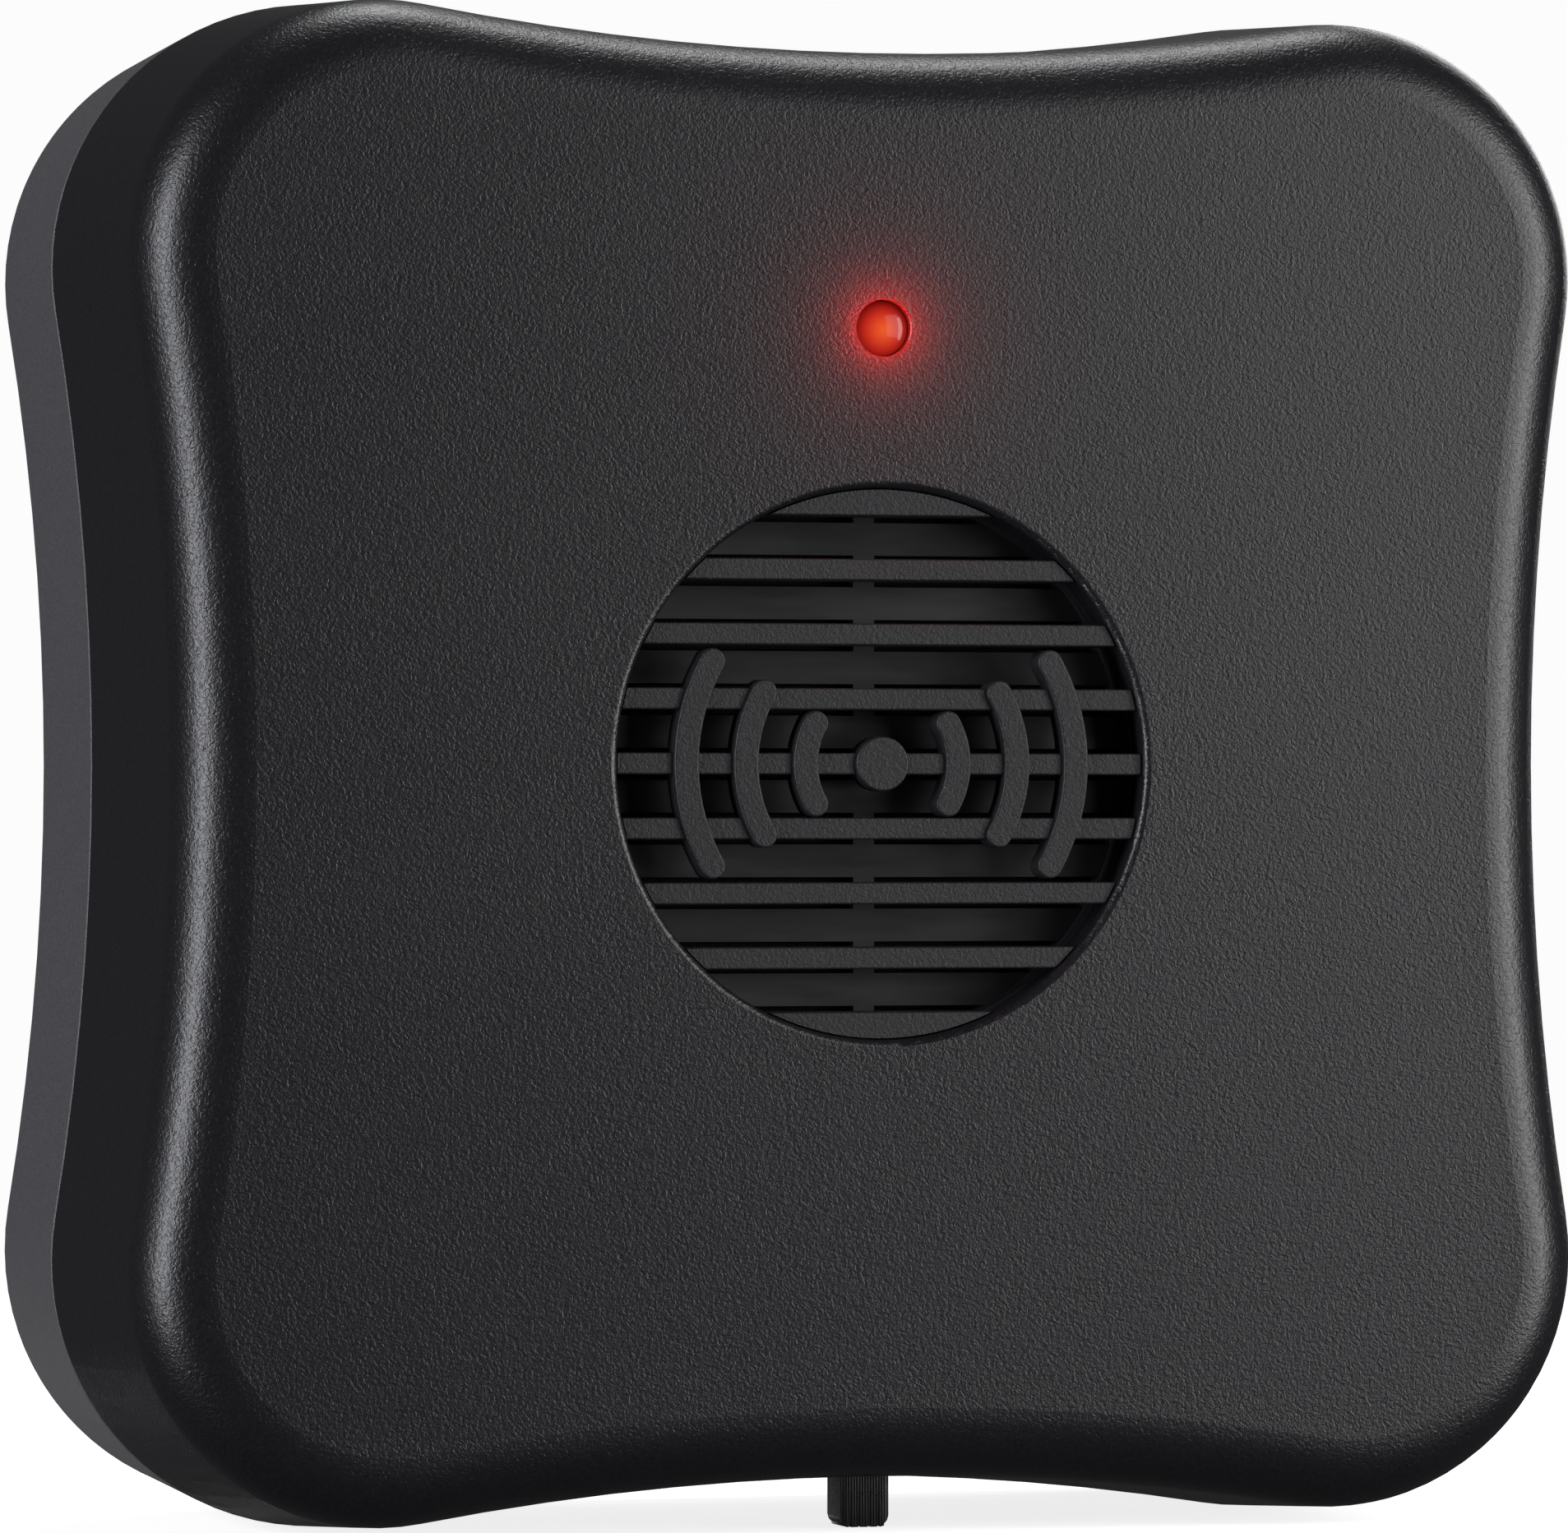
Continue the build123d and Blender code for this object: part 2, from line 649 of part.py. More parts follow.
def make_transducer_housing():
    """The cup that clamps the grille stack and holds the transducer."""
    cup = disc(housing_radius, housing_front, housing_rear)
    for x, z in ear_places():
        cup += disc(ear_radius, housing_front, housing_front + ear_thickness, x, z)
        middle = Pos(x / 2, z / 2) * Rot(0, 0, math.degrees(math.atan2(z, x)))
        web = middle * Rectangle(ear_reach, 2 * ear_radius)
        cup += prism(web, housing_front, housing_front + ear_thickness)
    cup -= disc(housing_radius - housing_wall, housing_front, housing_rear - housing_back)
    cup += ring(housing_radius - housing_wall / 2, housing_radius - housing_wall - shelf_width,
                piezo_front + piezo_thickness, housing_rear - housing_back)
    for x, z in ear_places():
        cup -= disc(small_screw_radius + screw_clearance, housing_front - 1,
                    housing_front + ear_thickness + 1, x, z)
    for side in (-1, 1):
        above = side * wire_spacing / 2
        cup -= rod_across(wire_radius + screw_clearance, -housing_radius - 1,
                          -housing_radius + housing_wall + shelf_width + 1, wire_depth(), above)
    return cup


def wire_depth():
    """Depth of the wires' exit holes behind the face."""
    return housing_rear - wire_depth_in_housing + housing_back


def make_dust_cloth():
    """Fine black cloth held between the louvre screen and the gasket."""
    return disc(flange_radius, dust_cloth_front, gasket_front)


def make_transducer_gasket():
    """The foam ring between the louvre screen and the housing."""
    return ring(flange_radius, flange_radius - gasket_width, gasket_front, housing_front)


def make_piezo_plate():
    """The brass plate that bends."""
    return disc(piezo_radius, piezo_front, piezo_front + piezo_thickness)


def make_piezo_ceramic():
    """The ceramic layer on the back of the brass plate."""
    start = piezo_front + piezo_thickness
    return disc(ceramic_radius, start, start + ceramic_thickness)


def make_transducer_cone():
    """The light cone that stands on the middle of the brass plate."""
    outer = Cone(cone_throat_radius, cone_mouth_radius, cone_height)
    inner = Cone(cone_throat_radius - cone_skin, cone_mouth_radius - cone_skin, cone_height)
    cup = outer - Pos(0, 0, cone_skin) * inner
    return place(0, piezo_front - cone_height / 2, 0) * (Rot(90, 0, 0) * cup)


def make_wire(side):
    """One of the two wires from the housing's side to the board."""
    above = side * wire_spacing / 2
    start = -housing_radius + housing_wall
    out = -housing_radius - wire_drop_start
    depth = wire_depth()
    points = [(start, front_y + depth, mid_z + above),
              (out, front_y + depth, mid_z + above),
              (out, front_y + board_front, mid_z + above)]
    path = FilletPolyline(points, radius=[wire_bend])
    profile = Plane(origin=points[0], z_dir=(-1, 0, 0)) * Circle(wire_radius)
    return sweep(profile, path=path)


# ---- Lamp -------------------------------------------------------------------
def make_lamp_lens():
    """The red domed lamp."""
    dome = place(0, lamp_tip_setback + lamp_dome_curve, lamp_height) * Sphere(lamp_dome_curve)
    dome = dome & disc(lamp_radius, 0, lamp_base, 0, lamp_height)
    lens = dome + disc(lamp_radius, lamp_tip_setback + lamp_dome_height, lamp_base, 0, lamp_height)
    return lens + disc(lamp_flange_radius, lamp_base - lamp_flange_height, lamp_base, 0, lamp_height)


def make_lamp_lead(side):
    """One of the lamp's two square leads."""
    x = side * lead_pitch / 2
    half = lead_width / 2
    return block((x - half, x + half), (lamp_base, board_rear + lead_tail),
                 (lamp_height - half, lamp_height + half))


def make_lamp_spacer():
    """The sleeve that holds the lamp off the board."""
    spacer = disc(spacer_radius, lamp_base, board_front, 0, lamp_height)
    for side in (-1, 1):
        hole = lead_width / math.sqrt(2) + lead_hole_gap
        spacer -= disc(hole, lamp_base - 1, board_front + 1, side * lead_pitch / 2, lamp_height)
    return spacer


# ---- Circuit board ----------------------------------------------------------
def make_circuit_board():
    """The board, with holes for its screws, the lamp, the switch and the cell tabs."""
    outline = RectangleRounded(board_width, 2 * board_half_height, board_corner)
    skirt_height = skirt_reach - board_half_height + 2 * board_corner
    skirt_middle = -skirt_reach + skirt_height / 2
    outline += Pos(0, skirt_middle) * RectangleRounded(skirt_width, skirt_height, board_corner)
    board = prism(outline, board_front, board_rear)
    through = (board_front - 1, board_rear + 1)
    for x, z in four_corners(post_across, post_above):
        board -= disc(board_screw_radius + screw_clearance, *through, x, z)
    for side in (-1, 1):
        hole = lead_width / math.sqrt(2) + lead_hole_gap
        board -= disc(hole, *through, side * lead_pitch / 2, lamp_height)
    for i in (-1, 0, 1):
        hole = pin_width / math.sqrt(2) + lead_hole_gap
        board -= disc(hole, *through, i * pin_pitch, pin_height())
    for across, above in (tab_place(0, 1), tab_place(cell_count - 1, -1)):
        half = tab_width / 2 + tab_gap
        low, high = tab_span(above)
        board -= block((across - half, across + half), through, (low - tab_gap, high + tab_gap))
    return board


def tab_span(above):
    """Low and high side of a solder tab that lies against one end of the bay."""
    if above > 0:
        return above - contact_thickness, above
    return above, above + contact_thickness


def make_control_chip():
    """The chip's moulded body."""
    wide, thick, high = chip_size
    x, z = chip_place
    rear = board_front - 0.1
    body = block((x - wide / 2, x + wide / 2), (rear - thick, rear), (z - high / 2, z + high / 2))
    return chamfer(body.edges().group_by(Axis.Y)[0], 0.25)


def make_chip_legs():
    """The chip's two rows of legs."""
    wide, _, _ = chip_size
    x, z = chip_place
    legs = []
    for side in (-1, 1):
        for row in range(chip_rows):
            above = z + (row - (chip_rows - 1) / 2) * chip_leg_pitch
            near = (above - chip_leg_width / 2, above + chip_leg_width / 2)
            ends = sorted((x + side * wide / 2, x + side * (wide / 2 + chip_leg_reach)))
            legs.append(block(ends, (board_front - chip_leg_height, board_front), near))
    return Compound(children=legs)


def make_coil_core():
    """The ferrite bobbin of the step-up coil."""
    x, z = coil_place
    start = board_front - coil_length
    core = disc(coil_core_radius, start, board_front, x, z)
    core += disc(coil_flange_radius, start, start + coil_flange_height, x, z)
    return core + disc(coil_flange_radius, board_front - coil_flange_height, board_front, x, z)


def make_coil_winding():
    """The copper on the bobbin."""
    x, z = coil_place
    start = board_front - coil_length + coil_flange_height
    return ring(coil_winding_radius, coil_core_radius, start, board_front - coil_flange_height, x, z)


def make_capacitor(x, z):
    """An upright can capacitor."""
    can = disc(capacitor_radius, board_front - capacitor_length, board_front, x, z)
    can = fillet(can.edges().sort_by(Axis.Y)[0], capacitor_radius * 0.12)
    waist = board_front - capacitor_length * 0.16
    groove = ring(capacitor_radius + 1, capacitor_radius * 0.93, waist - 0.3, waist + 0.3, x, z)
    return can - groove


def make_transistor(x, z):
    """A small upright transistor with one flat side."""
    body = disc(transistor_radius, board_front - transistor_length, board_front, x, z)
    far = transistor_radius + 1
    cut = block((x - far, x + far), (board_front - transistor_length - 1, board_front + 1),
                (z - far, z - transistor_flat))
    return body - cut


def make_resistor(index):
    """A resistor lying above the board on its two bent leads."""
    x, z = resistor_place
    z = z + index * resistor_pitch - (resistor_count - 1) * resistor_pitch / 2
    depth = board_front - resistor_lift
    body = rod_across(resistor_radius, x - resistor_length / 2, x + resistor_length / 2, depth, z)
    body = fillet(body.edges(), resistor_radius * 0.4)
    half = lead_width / 2
    body += rod_across(half, x - resistor_span / 2, x + resistor_span / 2, depth, z)
    for side in (-1, 1):
        body += disc(half, depth, board_front, x + side * (resistor_span / 2 - half), z)
    return body


# ---- Slide switch -----------------------------------------------------------
def make_switch_can():
    """The folded metal can of the switch, open at its top."""
    half = can_thickness / 2
    across = (-can_width / 2, can_width / 2)
    behind = (switch_depth - half, switch_depth + half)
    can = block(across, behind, (can_bottom, can_bottom + can_height))
    can -= block((across[0] + can_wall, across[1] - can_wall),
                 (behind[0] + can_wall, behind[1] - can_wall),
                 (can_bottom + can_wall, can_bottom + can_height + 1))
    slot = switch_travel / 2 + actuator_width / 2 + knob_slot_gap
    deep = actuator_width / 2 + knob_slot_gap
    can -= block((-slot, slot), (switch_depth - deep, switch_depth + deep),
                 (can_bottom - 1, can_bottom + 1))
    hole = pin_width / math.sqrt(2) + lead_hole_gap
    for i in (-1, 0, 1):
        can -= disc(hole, switch_depth, behind[1] + 1, i * pin_pitch, pin_height())
    return can


def switch_base_bottom():
    """Height of the underside of the switch's base, from the middle of the case."""
    return can_bottom + can_wall + slider_height + 2 * slider_gap


def pin_height():
    """Height of the pins' axes: the middle of the base."""
    return (switch_base_bottom() + can_bottom + can_height) / 2


def make_switch_base():
    """The base that closes the can and carries the pins."""
    half = can_thickness / 2 - can_wall
    wide = can_width / 2 - can_wall
    base = block((-wide, wide), (switch_depth - half, switch_depth + half),
                 (switch_base_bottom(), can_bottom + can_height))
    return base - Compound(children=[make_switch_pin(i) for i in (-1, 0, 1)])


def make_switch_pin(index):
    """One of the switch's three pins, straight back through the board."""
    x = index * pin_pitch
    z = pin_height()
    half = pin_width / 2
    return block((x - half, x + half), (switch_depth, board_rear + pin_tail), (z - half, z + half))


def make_switch_actuator():
    """The switch's own slider, which the knob is pushed onto."""
    low = can_bottom + can_wall + slider_gap
    half_slide = slider_width / 2
    half = actuator_width / 2
    x = switch_offset
    slider = block((x - half_slide, x + half_slide),
                   (switch_depth - half_slide * 0.9, switch_depth + half_slide * 0.9),
                   (low, low + slider_height))
    slider += block((x - half, x + half), (switch_depth - half, switch_depth + half),
                    (plate_bottom + dust_plate_thickness - actuator_bite, low + 0.1))
    return slider


def make_switch_knob():
    """The knob: a ribbed block below the case and a dust plate inside it."""
    x = switch_offset
    half = knob_width / 2
    deep = knob_thickness / 2
    tip = -half_height + knob_tip_clearance
    knob = block((x - half, x + half), (switch_depth - deep, switch_depth + deep),
                 (tip, plate_bottom + dust_plate_thickness / 2))
    lower = knob.edges().filter_by(Axis.Y).group_by(Axis.Z)[0]
    knob = fillet(lower, knob_corner)
    pitch = knob_width / (knob_rib_count + 1)
    for i in range(knob_rib_count):
        across = x + (i - (knob_rib_count - 1) / 2) * pitch
        front = switch_depth - deep
        knob -= place(across, front, (tip + plate_bottom) / 2) * (
            Rot(0, 0, 45) * Box(knob_rib_depth * 1.4, knob_rib_depth * 1.4, plate_bottom - tip + 2))
        knob -= place(across, switch_depth, tip) * (
            Rot(0, 45, 0) * Box(knob_rib_depth * 1.8, knob_thickness + 2, knob_rib_depth * 1.8))
    half_plate = dust_plate_length / 2
    knob += block((x - half_plate, x + half_plate),
                  (switch_depth - dust_plate_width / 2, switch_depth + dust_plate_width / 2),
                  (plate_bottom, plate_bottom + dust_plate_thickness))
    bite = actuator_width / 2
    knob -= block((x - bite, x + bite), (switch_depth - bite, switch_depth + bite),
                  (plate_bottom + dust_plate_thickness - actuator_bite, can_bottom))
    return knob


# ---- Cells and contacts -----------------------------------------------------
def cell_across(index):
    """Across of a cell's axis."""
    return (index - (cell_count - 1) / 2) * cell_pitch


def button_up(index):
    """Every other cell stands with its button up."""
    return index % 2 == 0


def cell_span(index):
    """Low and high end of a cell, button included."""
    if button_up(index):
        high = bay_top - contact_thickness
        return high - cell_length, high
    low = bay_bottom + contact_thickness
    return low, low + cell_length


def upright_cell(index, solid):
    """Puts a solid drawn with its button up at the origin's axis in a cell's place."""
    low, high = cell_span(index)
    turned = solid if button_up(index) else Rot(180, 0, 0) * solid
    return place(cell_across(index), cell_depth, (low + high) / 2) * turned


def make_cell(index):
    """A cell's metal can with its button."""
    radius = cell_radius - sleeve_thickness
    length = cell_length - button_height
    can = Pos(0, 0, -button_height / 2) * Cylinder(radius, length)
    can = fillet(can.edges().filter_by(GeomType.CIRCLE), 0.6)
    top = cell_length / 2
    button = Pos(0, 0, top - button_height) * Cylinder(
        button_radius, 2 * button_height)
    button = fillet(button.edges().sort_by(Axis.Z)[-1], 0.3)
    return upright_cell(index, can + button)


def make_cell_sleeve(index):
    """The printed sleeve round a cell, left blank."""
    length = cell_length - button_height - 2 * sleeve_setback
    tube = Cylinder(cell_radius, length) - Cylinder(cell_radius - sleeve_thickness, length)
    return upright_cell(index, Pos(0, 0, -button_height / 2) * tube)


def make_contact(cells, end, tab):
    """A sprung-steel contact plate behind one or two cells, with or without a solder tab."""
    wall = bay_top if end > 0 else bay_bottom
    low, high = tab_span(wall)
    middle = cell_depth
    half = contact_width / 2
    across = (cell_across(cells[0]) - half, cell_across(cells[-1]) + half)
    plate = block(across, (middle - contact_height / 2, middle + contact_height / 2), (low, high))
    if tab:
        x = cell_across(cells[0])
        plate += block((x - tab_width / 2, x + tab_width / 2),
                       (board_front - tab_stub, middle), (low, high))
    return plate


def make_cell_spring(index):
    """The conical spring that presses on a cell's flat end."""
    pitch = (spring_length - 2 * spring_wire) / spring_turns
    rise = spring_length - 2 * spring_wire - 0.1
    path = Helix(pitch, rise, spring_radius, cone_angle=-spring_taper)
    profile = Plane(origin=path @ 0, z_dir=path % 0) * Circle(spring_wire)
    coil = Pos(0, 0, spring_wire) * sweep(profile, path=path, is_frenet=True)
    if button_up(index):
        return place(cell_across(index), cell_depth, bay_bottom + contact_thickness) * coil
    return place(cell_across(index), cell_depth, bay_top - contact_thickness) * (Rot(180, 0, 0) * coil)


# ---- Battery door -----------------------------------------------------------
def make_battery_door():
    """The door: a plate with a rounded, pinned top edge and a springy latch tongue."""
    door = block((-door_half_width, door_half_width), (door_inside, case_depth),
                 (bay_bottom, hinge_height))
    door += rod_across(hinge_radius, -door_half_width, door_half_width, hinge_depth, hinge_height)
    for x in (-1, 1):
        ends = sorted((x * (door_half_width - 1), x * (door_half_width + hinge_pin_length)))
        door += rod_across(hinge_pin_radius, *ends, hinge_depth, hinge_height)
    for x in (-1, 1):
        middle = x * (latch_width + latch_slit) / 2
        door -= block((middle - latch_slit / 2, middle + latch_slit / 2),
                      (door_inside - 1, case_depth + 1), (bay_bottom - 1, bay_bottom + latch_length))
    for i in range(grip_count):
        above = bay_bottom + latch_length - (i + 0.5) * grip_pitch
        door -= block((-latch_width / 2 + 1, latch_width / 2 - 1),
                      (case_depth - grip_depth, case_depth + 1),
                      (above - grip_pitch / 4, above + grip_pitch / 4))
    nib = block((-latch_nib_width / 2, latch_nib_width / 2),
                (nib_middle() - latch_nib_thickness / 2, nib_middle() + latch_nib_thickness / 2),
                (bay_bottom - latch_nib_reach, bay_bottom + 0.5))
    return door + nib


# ---- The whole repeller -----------------------------------------------------
def make_parts():
    """Every sub-part by its name."""
    parts = {
        "front_shell": make_front_shell(),
        "rear_shell": make_rear_shell(),
        "speaker_grille": make_speaker_grille(),
        "louvre_screen": make_louvre_screen(),
        "dust_cloth": make_dust_cloth(),
        "transducer_gasket": make_transducer_gasket(),
        "transducer_housing": make_transducer_housing(),
        "transducer_cone": make_transducer_cone(),
        "piezo_plate": make_piezo_plate(),
        "piezo_ceramic": make_piezo_ceramic(),
        "transducer_wire_red": make_wire(1),
        "transducer_wire_black": make_wire(-1),
        "lamp_lens": make_lamp_lens(),
        "lamp_lead_left": make_lamp_lead(-1),
        "lamp_lead_right": make_lamp_lead(1),
        "lamp_spacer": make_lamp_spacer(),
        "circuit_board": make_circuit_board(),
        "control_chip": make_control_chip(),
        "chip_legs": make_chip_legs(),
        "coil_core": make_coil_core(),
        "coil_winding": make_coil_winding(),
        "switch_can": make_switch_can(),
        "switch_base": make_switch_base(),
        "switch_actuator": make_switch_actuator(),
        "switch_knob": make_switch_knob(),
        "contact_positive": make_contact([0], 1, True),
        "contact_negative": make_contact([cell_count - 1], -1, True),
        "contact_link_top": make_contact([1, 2], 1, False),
        "contact_link_bottom": make_contact([0, 1], -1, False),
        "battery_door": make_battery_door(),
    }
    for i in (-1, 0, 1):
        parts[f"switch_pin_{i + 2}"] = make_switch_pin(i)
    for i, (x, z) in enumerate(capacitor_places):
        parts[f"capacitor_{i + 1}"] = make_capacitor(x, z)
    for i, (x, z) in enumerate(transistor_places):
        parts[f"transistor_{i + 1}"] = make_transistor(x, z)
    for i in range(resistor_count):
        parts[f"resistor_{i + 1}"] = make_resistor(i)
    for i in range(cell_count):
        parts[f"cell_{i + 1}"] = make_cell(i)
        parts[f"cell_sleeve_{i + 1}"] = make_cell_sleeve(i)
        parts[f"cell_spring_{i + 1}"] = make_cell_spring(i)
    for i, (x, z) in enumerate(four_corners(boss_across, boss_above)):
        parts[f"case_screw_{i + 1}"] = screw(x, z, case_head_depth, case_head_radius,
                                             case_head_height, case_screw_radius,
                                             case_screw_length)
    for i, (x, z) in enumerate(four_corners(post_across, post_above)):
        parts[f"board_screw_{i + 1}"] = screw(x, z, board_rear, board_head_radius,
                                              board_head_height, board_screw_radius,
                                              board_screw_length)
    for i, (x, z) in enumerate(ear_places()):
        parts[f"transducer_screw_{i + 1}"] = screw(x, z, housing_front + ear_thickness,
                                                   small_head_radius, small_head_height,
                                                   small_screw_radius, small_screw_length)
    return parts


os.makedirs("parts", exist_ok=True)
for name, shape in make_parts().items():
    export_step(shape, f"parts/{name}.step")
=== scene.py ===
"""Finishes, fine detail, studio and camera for the ultrasonic pest repeller."""

import logging
import math
from collections.abc import Callable, Iterator, Sequence
from contextlib import contextmanager
from dataclasses import dataclass, field
from enum import Enum
from typing import Any, ClassVar

import bmesh
import bpy
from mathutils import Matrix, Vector


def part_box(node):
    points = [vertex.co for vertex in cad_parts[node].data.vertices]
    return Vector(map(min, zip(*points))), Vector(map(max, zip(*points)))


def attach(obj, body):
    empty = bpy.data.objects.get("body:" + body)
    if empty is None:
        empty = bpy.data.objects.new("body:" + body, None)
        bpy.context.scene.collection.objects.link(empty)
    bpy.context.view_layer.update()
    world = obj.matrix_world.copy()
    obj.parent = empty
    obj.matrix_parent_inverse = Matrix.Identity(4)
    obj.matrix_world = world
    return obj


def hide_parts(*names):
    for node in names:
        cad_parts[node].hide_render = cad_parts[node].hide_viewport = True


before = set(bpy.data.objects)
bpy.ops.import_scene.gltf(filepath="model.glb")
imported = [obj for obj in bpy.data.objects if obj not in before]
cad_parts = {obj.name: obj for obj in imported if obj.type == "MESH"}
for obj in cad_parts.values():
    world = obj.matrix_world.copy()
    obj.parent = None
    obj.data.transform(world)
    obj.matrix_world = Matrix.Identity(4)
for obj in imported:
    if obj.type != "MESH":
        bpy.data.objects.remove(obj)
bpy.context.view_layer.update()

MM = 0.001
TOGETHER = 1e-6  # Points nearer than this, in metres, count as one.
LOG = logging.getLogger("repeller")

Colour = tuple[float, float, float, float]
Stops = tuple[tuple[float, str], ...]
Span = tuple[float, float]
Triple = tuple[float, float, float]
Test = Callable[[Vector, Vector], bool]

# Most of a noise texture's values lie in the first span, and nearly all in the second.
NOISE_CORE = {"From Min": 0.3, "From Max": 0.7}
NOISE_WIDE = {"From Min": 0.25, "From Max": 0.75}


class Body(Enum):
    """The three bodies that a piece can ride on."""

    CASE = "case"
    DOOR = "door"
    KNOB = "knob"


class Side(Enum):
    """Which way a surface faces along the depth of the case."""

    FRONT = -1.0
    BACK = 1.0


def linear(hex_colour: str) -> Colour:
    """Turn an sRGB hex colour into the linear values that a shader takes.

    Args:
        hex_colour: Six hex digits.

    Returns:
        Linear red, green and blue, and an alpha of 1.
    """
    channels = [int(hex_colour[i:i + 2], 16) / 255 for i in (0, 2, 4)]
    turned = [c / 12.92 if c <= 0.04045 else ((c + 0.055) / 1.055) ** 2.4 for c in channels]
    return (turned[0], turned[1], turned[2], 1.0)


def per_metre(size_mm: float) -> float:
    """Give the texture scale whose features are about size_mm across."""
    return 1000.0 / size_mm


def add_node(tree: bpy.types.NodeTree, kind: str, inputs: dict[str | int, Any] | None = None,
             feeds: dict[str, bpy.types.NodeSocket] | None = None, stops: Stops = (),
             **settings: Any) -> bpy.types.Node:
    """Add a node, set its own settings, and fill or link its sockets.

    Args:
        tree: The node tree that gets the node.
        kind: Blender's name for the node's type.
        inputs: Values for input sockets by name or index. An output socket is linked.
        feeds: The other nodes' input sockets that its outputs go to, by output name.
        stops: A colour ramp's positions and sRGB hex colours, in order.
        **settings: Properties of the node itself.

    Returns:
        The new node.
    """
    node = tree.nodes.new(kind)
    for name, value in settings.items():
        setattr(node, name, value)
    for socket, value in (inputs or {}).items():
        if isinstance(value, bpy.types.NodeSocket):
            tree.links.new(value, node.inputs[socket])
        else:
            node.inputs[socket].default_value = value
    for output, fed in (feeds or {}).items():
        tree.links.new(node.outputs[output], fed)
    if stops:
        elements = node.color_ramp.elements
        while len(elements) < len(stops):
            elements.new(0.5)
        for element, (position, colour) in zip(elements, stops):
            element.position = position
            element.color = linear(colour)
    return node


# ---- Finishes ---------------------------------------------------------------
@dataclass(frozen=True)
class Finish:
    """A surface finish, built as one material.

    Attributes:
        name: The material's name, after the real material.
        colour: Its colour as sRGB hex.
        roughness: Its middle roughness.
        sockets: Plain values on the shader that all finishes of the kind share.
    """

    name: str
    colour: str
    roughness: float
    sockets: ClassVar[dict[str, float]] = {}

    def material(self) -> bpy.types.Material:
        """Build the material, or give back the one that is already there.

        Returns:
            The finished material.
        """
        found = bpy.data.materials.get(self.name)
        if found:
            return found
        made = bpy.data.materials.new(self.name)
        made.use_nodes = True
        tree = made.node_tree
        tree.nodes.clear()
        shader = add_node(tree, "ShaderNodeBsdfPrincipled",
                          {"Base Color": linear(self.colour), "Roughness": self.roughness,
                           **self.sockets})
        add_node(tree, "ShaderNodeOutputMaterial", {"Surface": shader.outputs["BSDF"]})
        place = add_node(tree, "ShaderNodeTexCoord").outputs["Object"]
        self.dress(tree, shader, place)
        made.diffuse_color = linear(self.colour)
        return made

    def dress(self, tree: bpy.types.NodeTree, shader: bpy.types.Node,
              place: bpy.types.NodeSocket) -> None:
        """Add the finish's own pattern to the shader.

        Args:
            tree: The material's node tree.
            shader: Its Principled shader.
            place: Object coordinates in metres.
        """
        raise NotImplementedError

    def to(self, *pieces: bpy.types.Object | str) -> None:
        """Put the finish on pieces.

        Args:
            *pieces: Objects, or names of CAD nodes.
        """
        for piece in pieces:
            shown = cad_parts[piece] if isinstance(piece, str) else piece
            if not shown.material_slots:
                shown.data.materials.append(self.material())
            for holder in shown.material_slots:
                holder.material = self.material()
            LOG.info("%s is finished in %s", shown.name, self.name)


@dataclass(frozen=True)
class GrainedAbs(Finish):
    """ABS moulded in a spark-eroded tool: a pebbled grain with a satin sheen.

    The grain breaks a reflection into small bright points, and long handling and
    uneven cooling leave the sheen a little patchy.
    """

    grain_mm: float
    depth_mm: float
    strength: float
    tint: str
    ior: float = 1.53
    patch_mm: float = 14.0
    patch_sheen: float = 0.012

    def dress(self, tree: bpy.types.NodeTree, shader: bpy.types.Node,
              place: bpy.types.NodeSocket) -> None:
        """Add the pebbled grain, its shading and the patchy sheen.

        Args:
            tree: The material's node tree.
            shader: Its Principled shader.
            place: Object coordinates in metres.
        """
        grain = add_node(tree, "ShaderNodeTexNoise",
                         {"Vector": place, "Scale": per_metre(self.grain_mm), "Detail": 1.5,
                          "Roughness": 0.5, "Distortion": 0.9}).outputs["Fac"]
        add_node(tree, "ShaderNodeBump",
                 {"Height": grain, "Strength": self.strength, "Distance": self.depth_mm * MM},
                 {"Normal": shader.inputs["Normal"]})
        add_node(tree, "ShaderNodeValToRGB", {"Fac": grain},
                 {"Color": shader.inputs["Base Color"]}, ((0.3, self.colour), (0.7, self.tint)))
        patch = add_node(tree, "ShaderNodeTexNoise",
                         {"Vector": place, "Scale": per_metre(self.patch_mm), "Detail": 3.0,
                          "Roughness": 0.55}).outputs["Fac"]
        add_node(tree, "ShaderNodeMapRange",
                 {**NOISE_CORE, "Value": patch, "To Min": self.roughness - self.patch_sheen,
                  "To Max": self.roughness + self.patch_sheen},
                 {"Result": shader.inputs["Roughness"]})
        shader.inputs["IOR"].default_value = self.ior


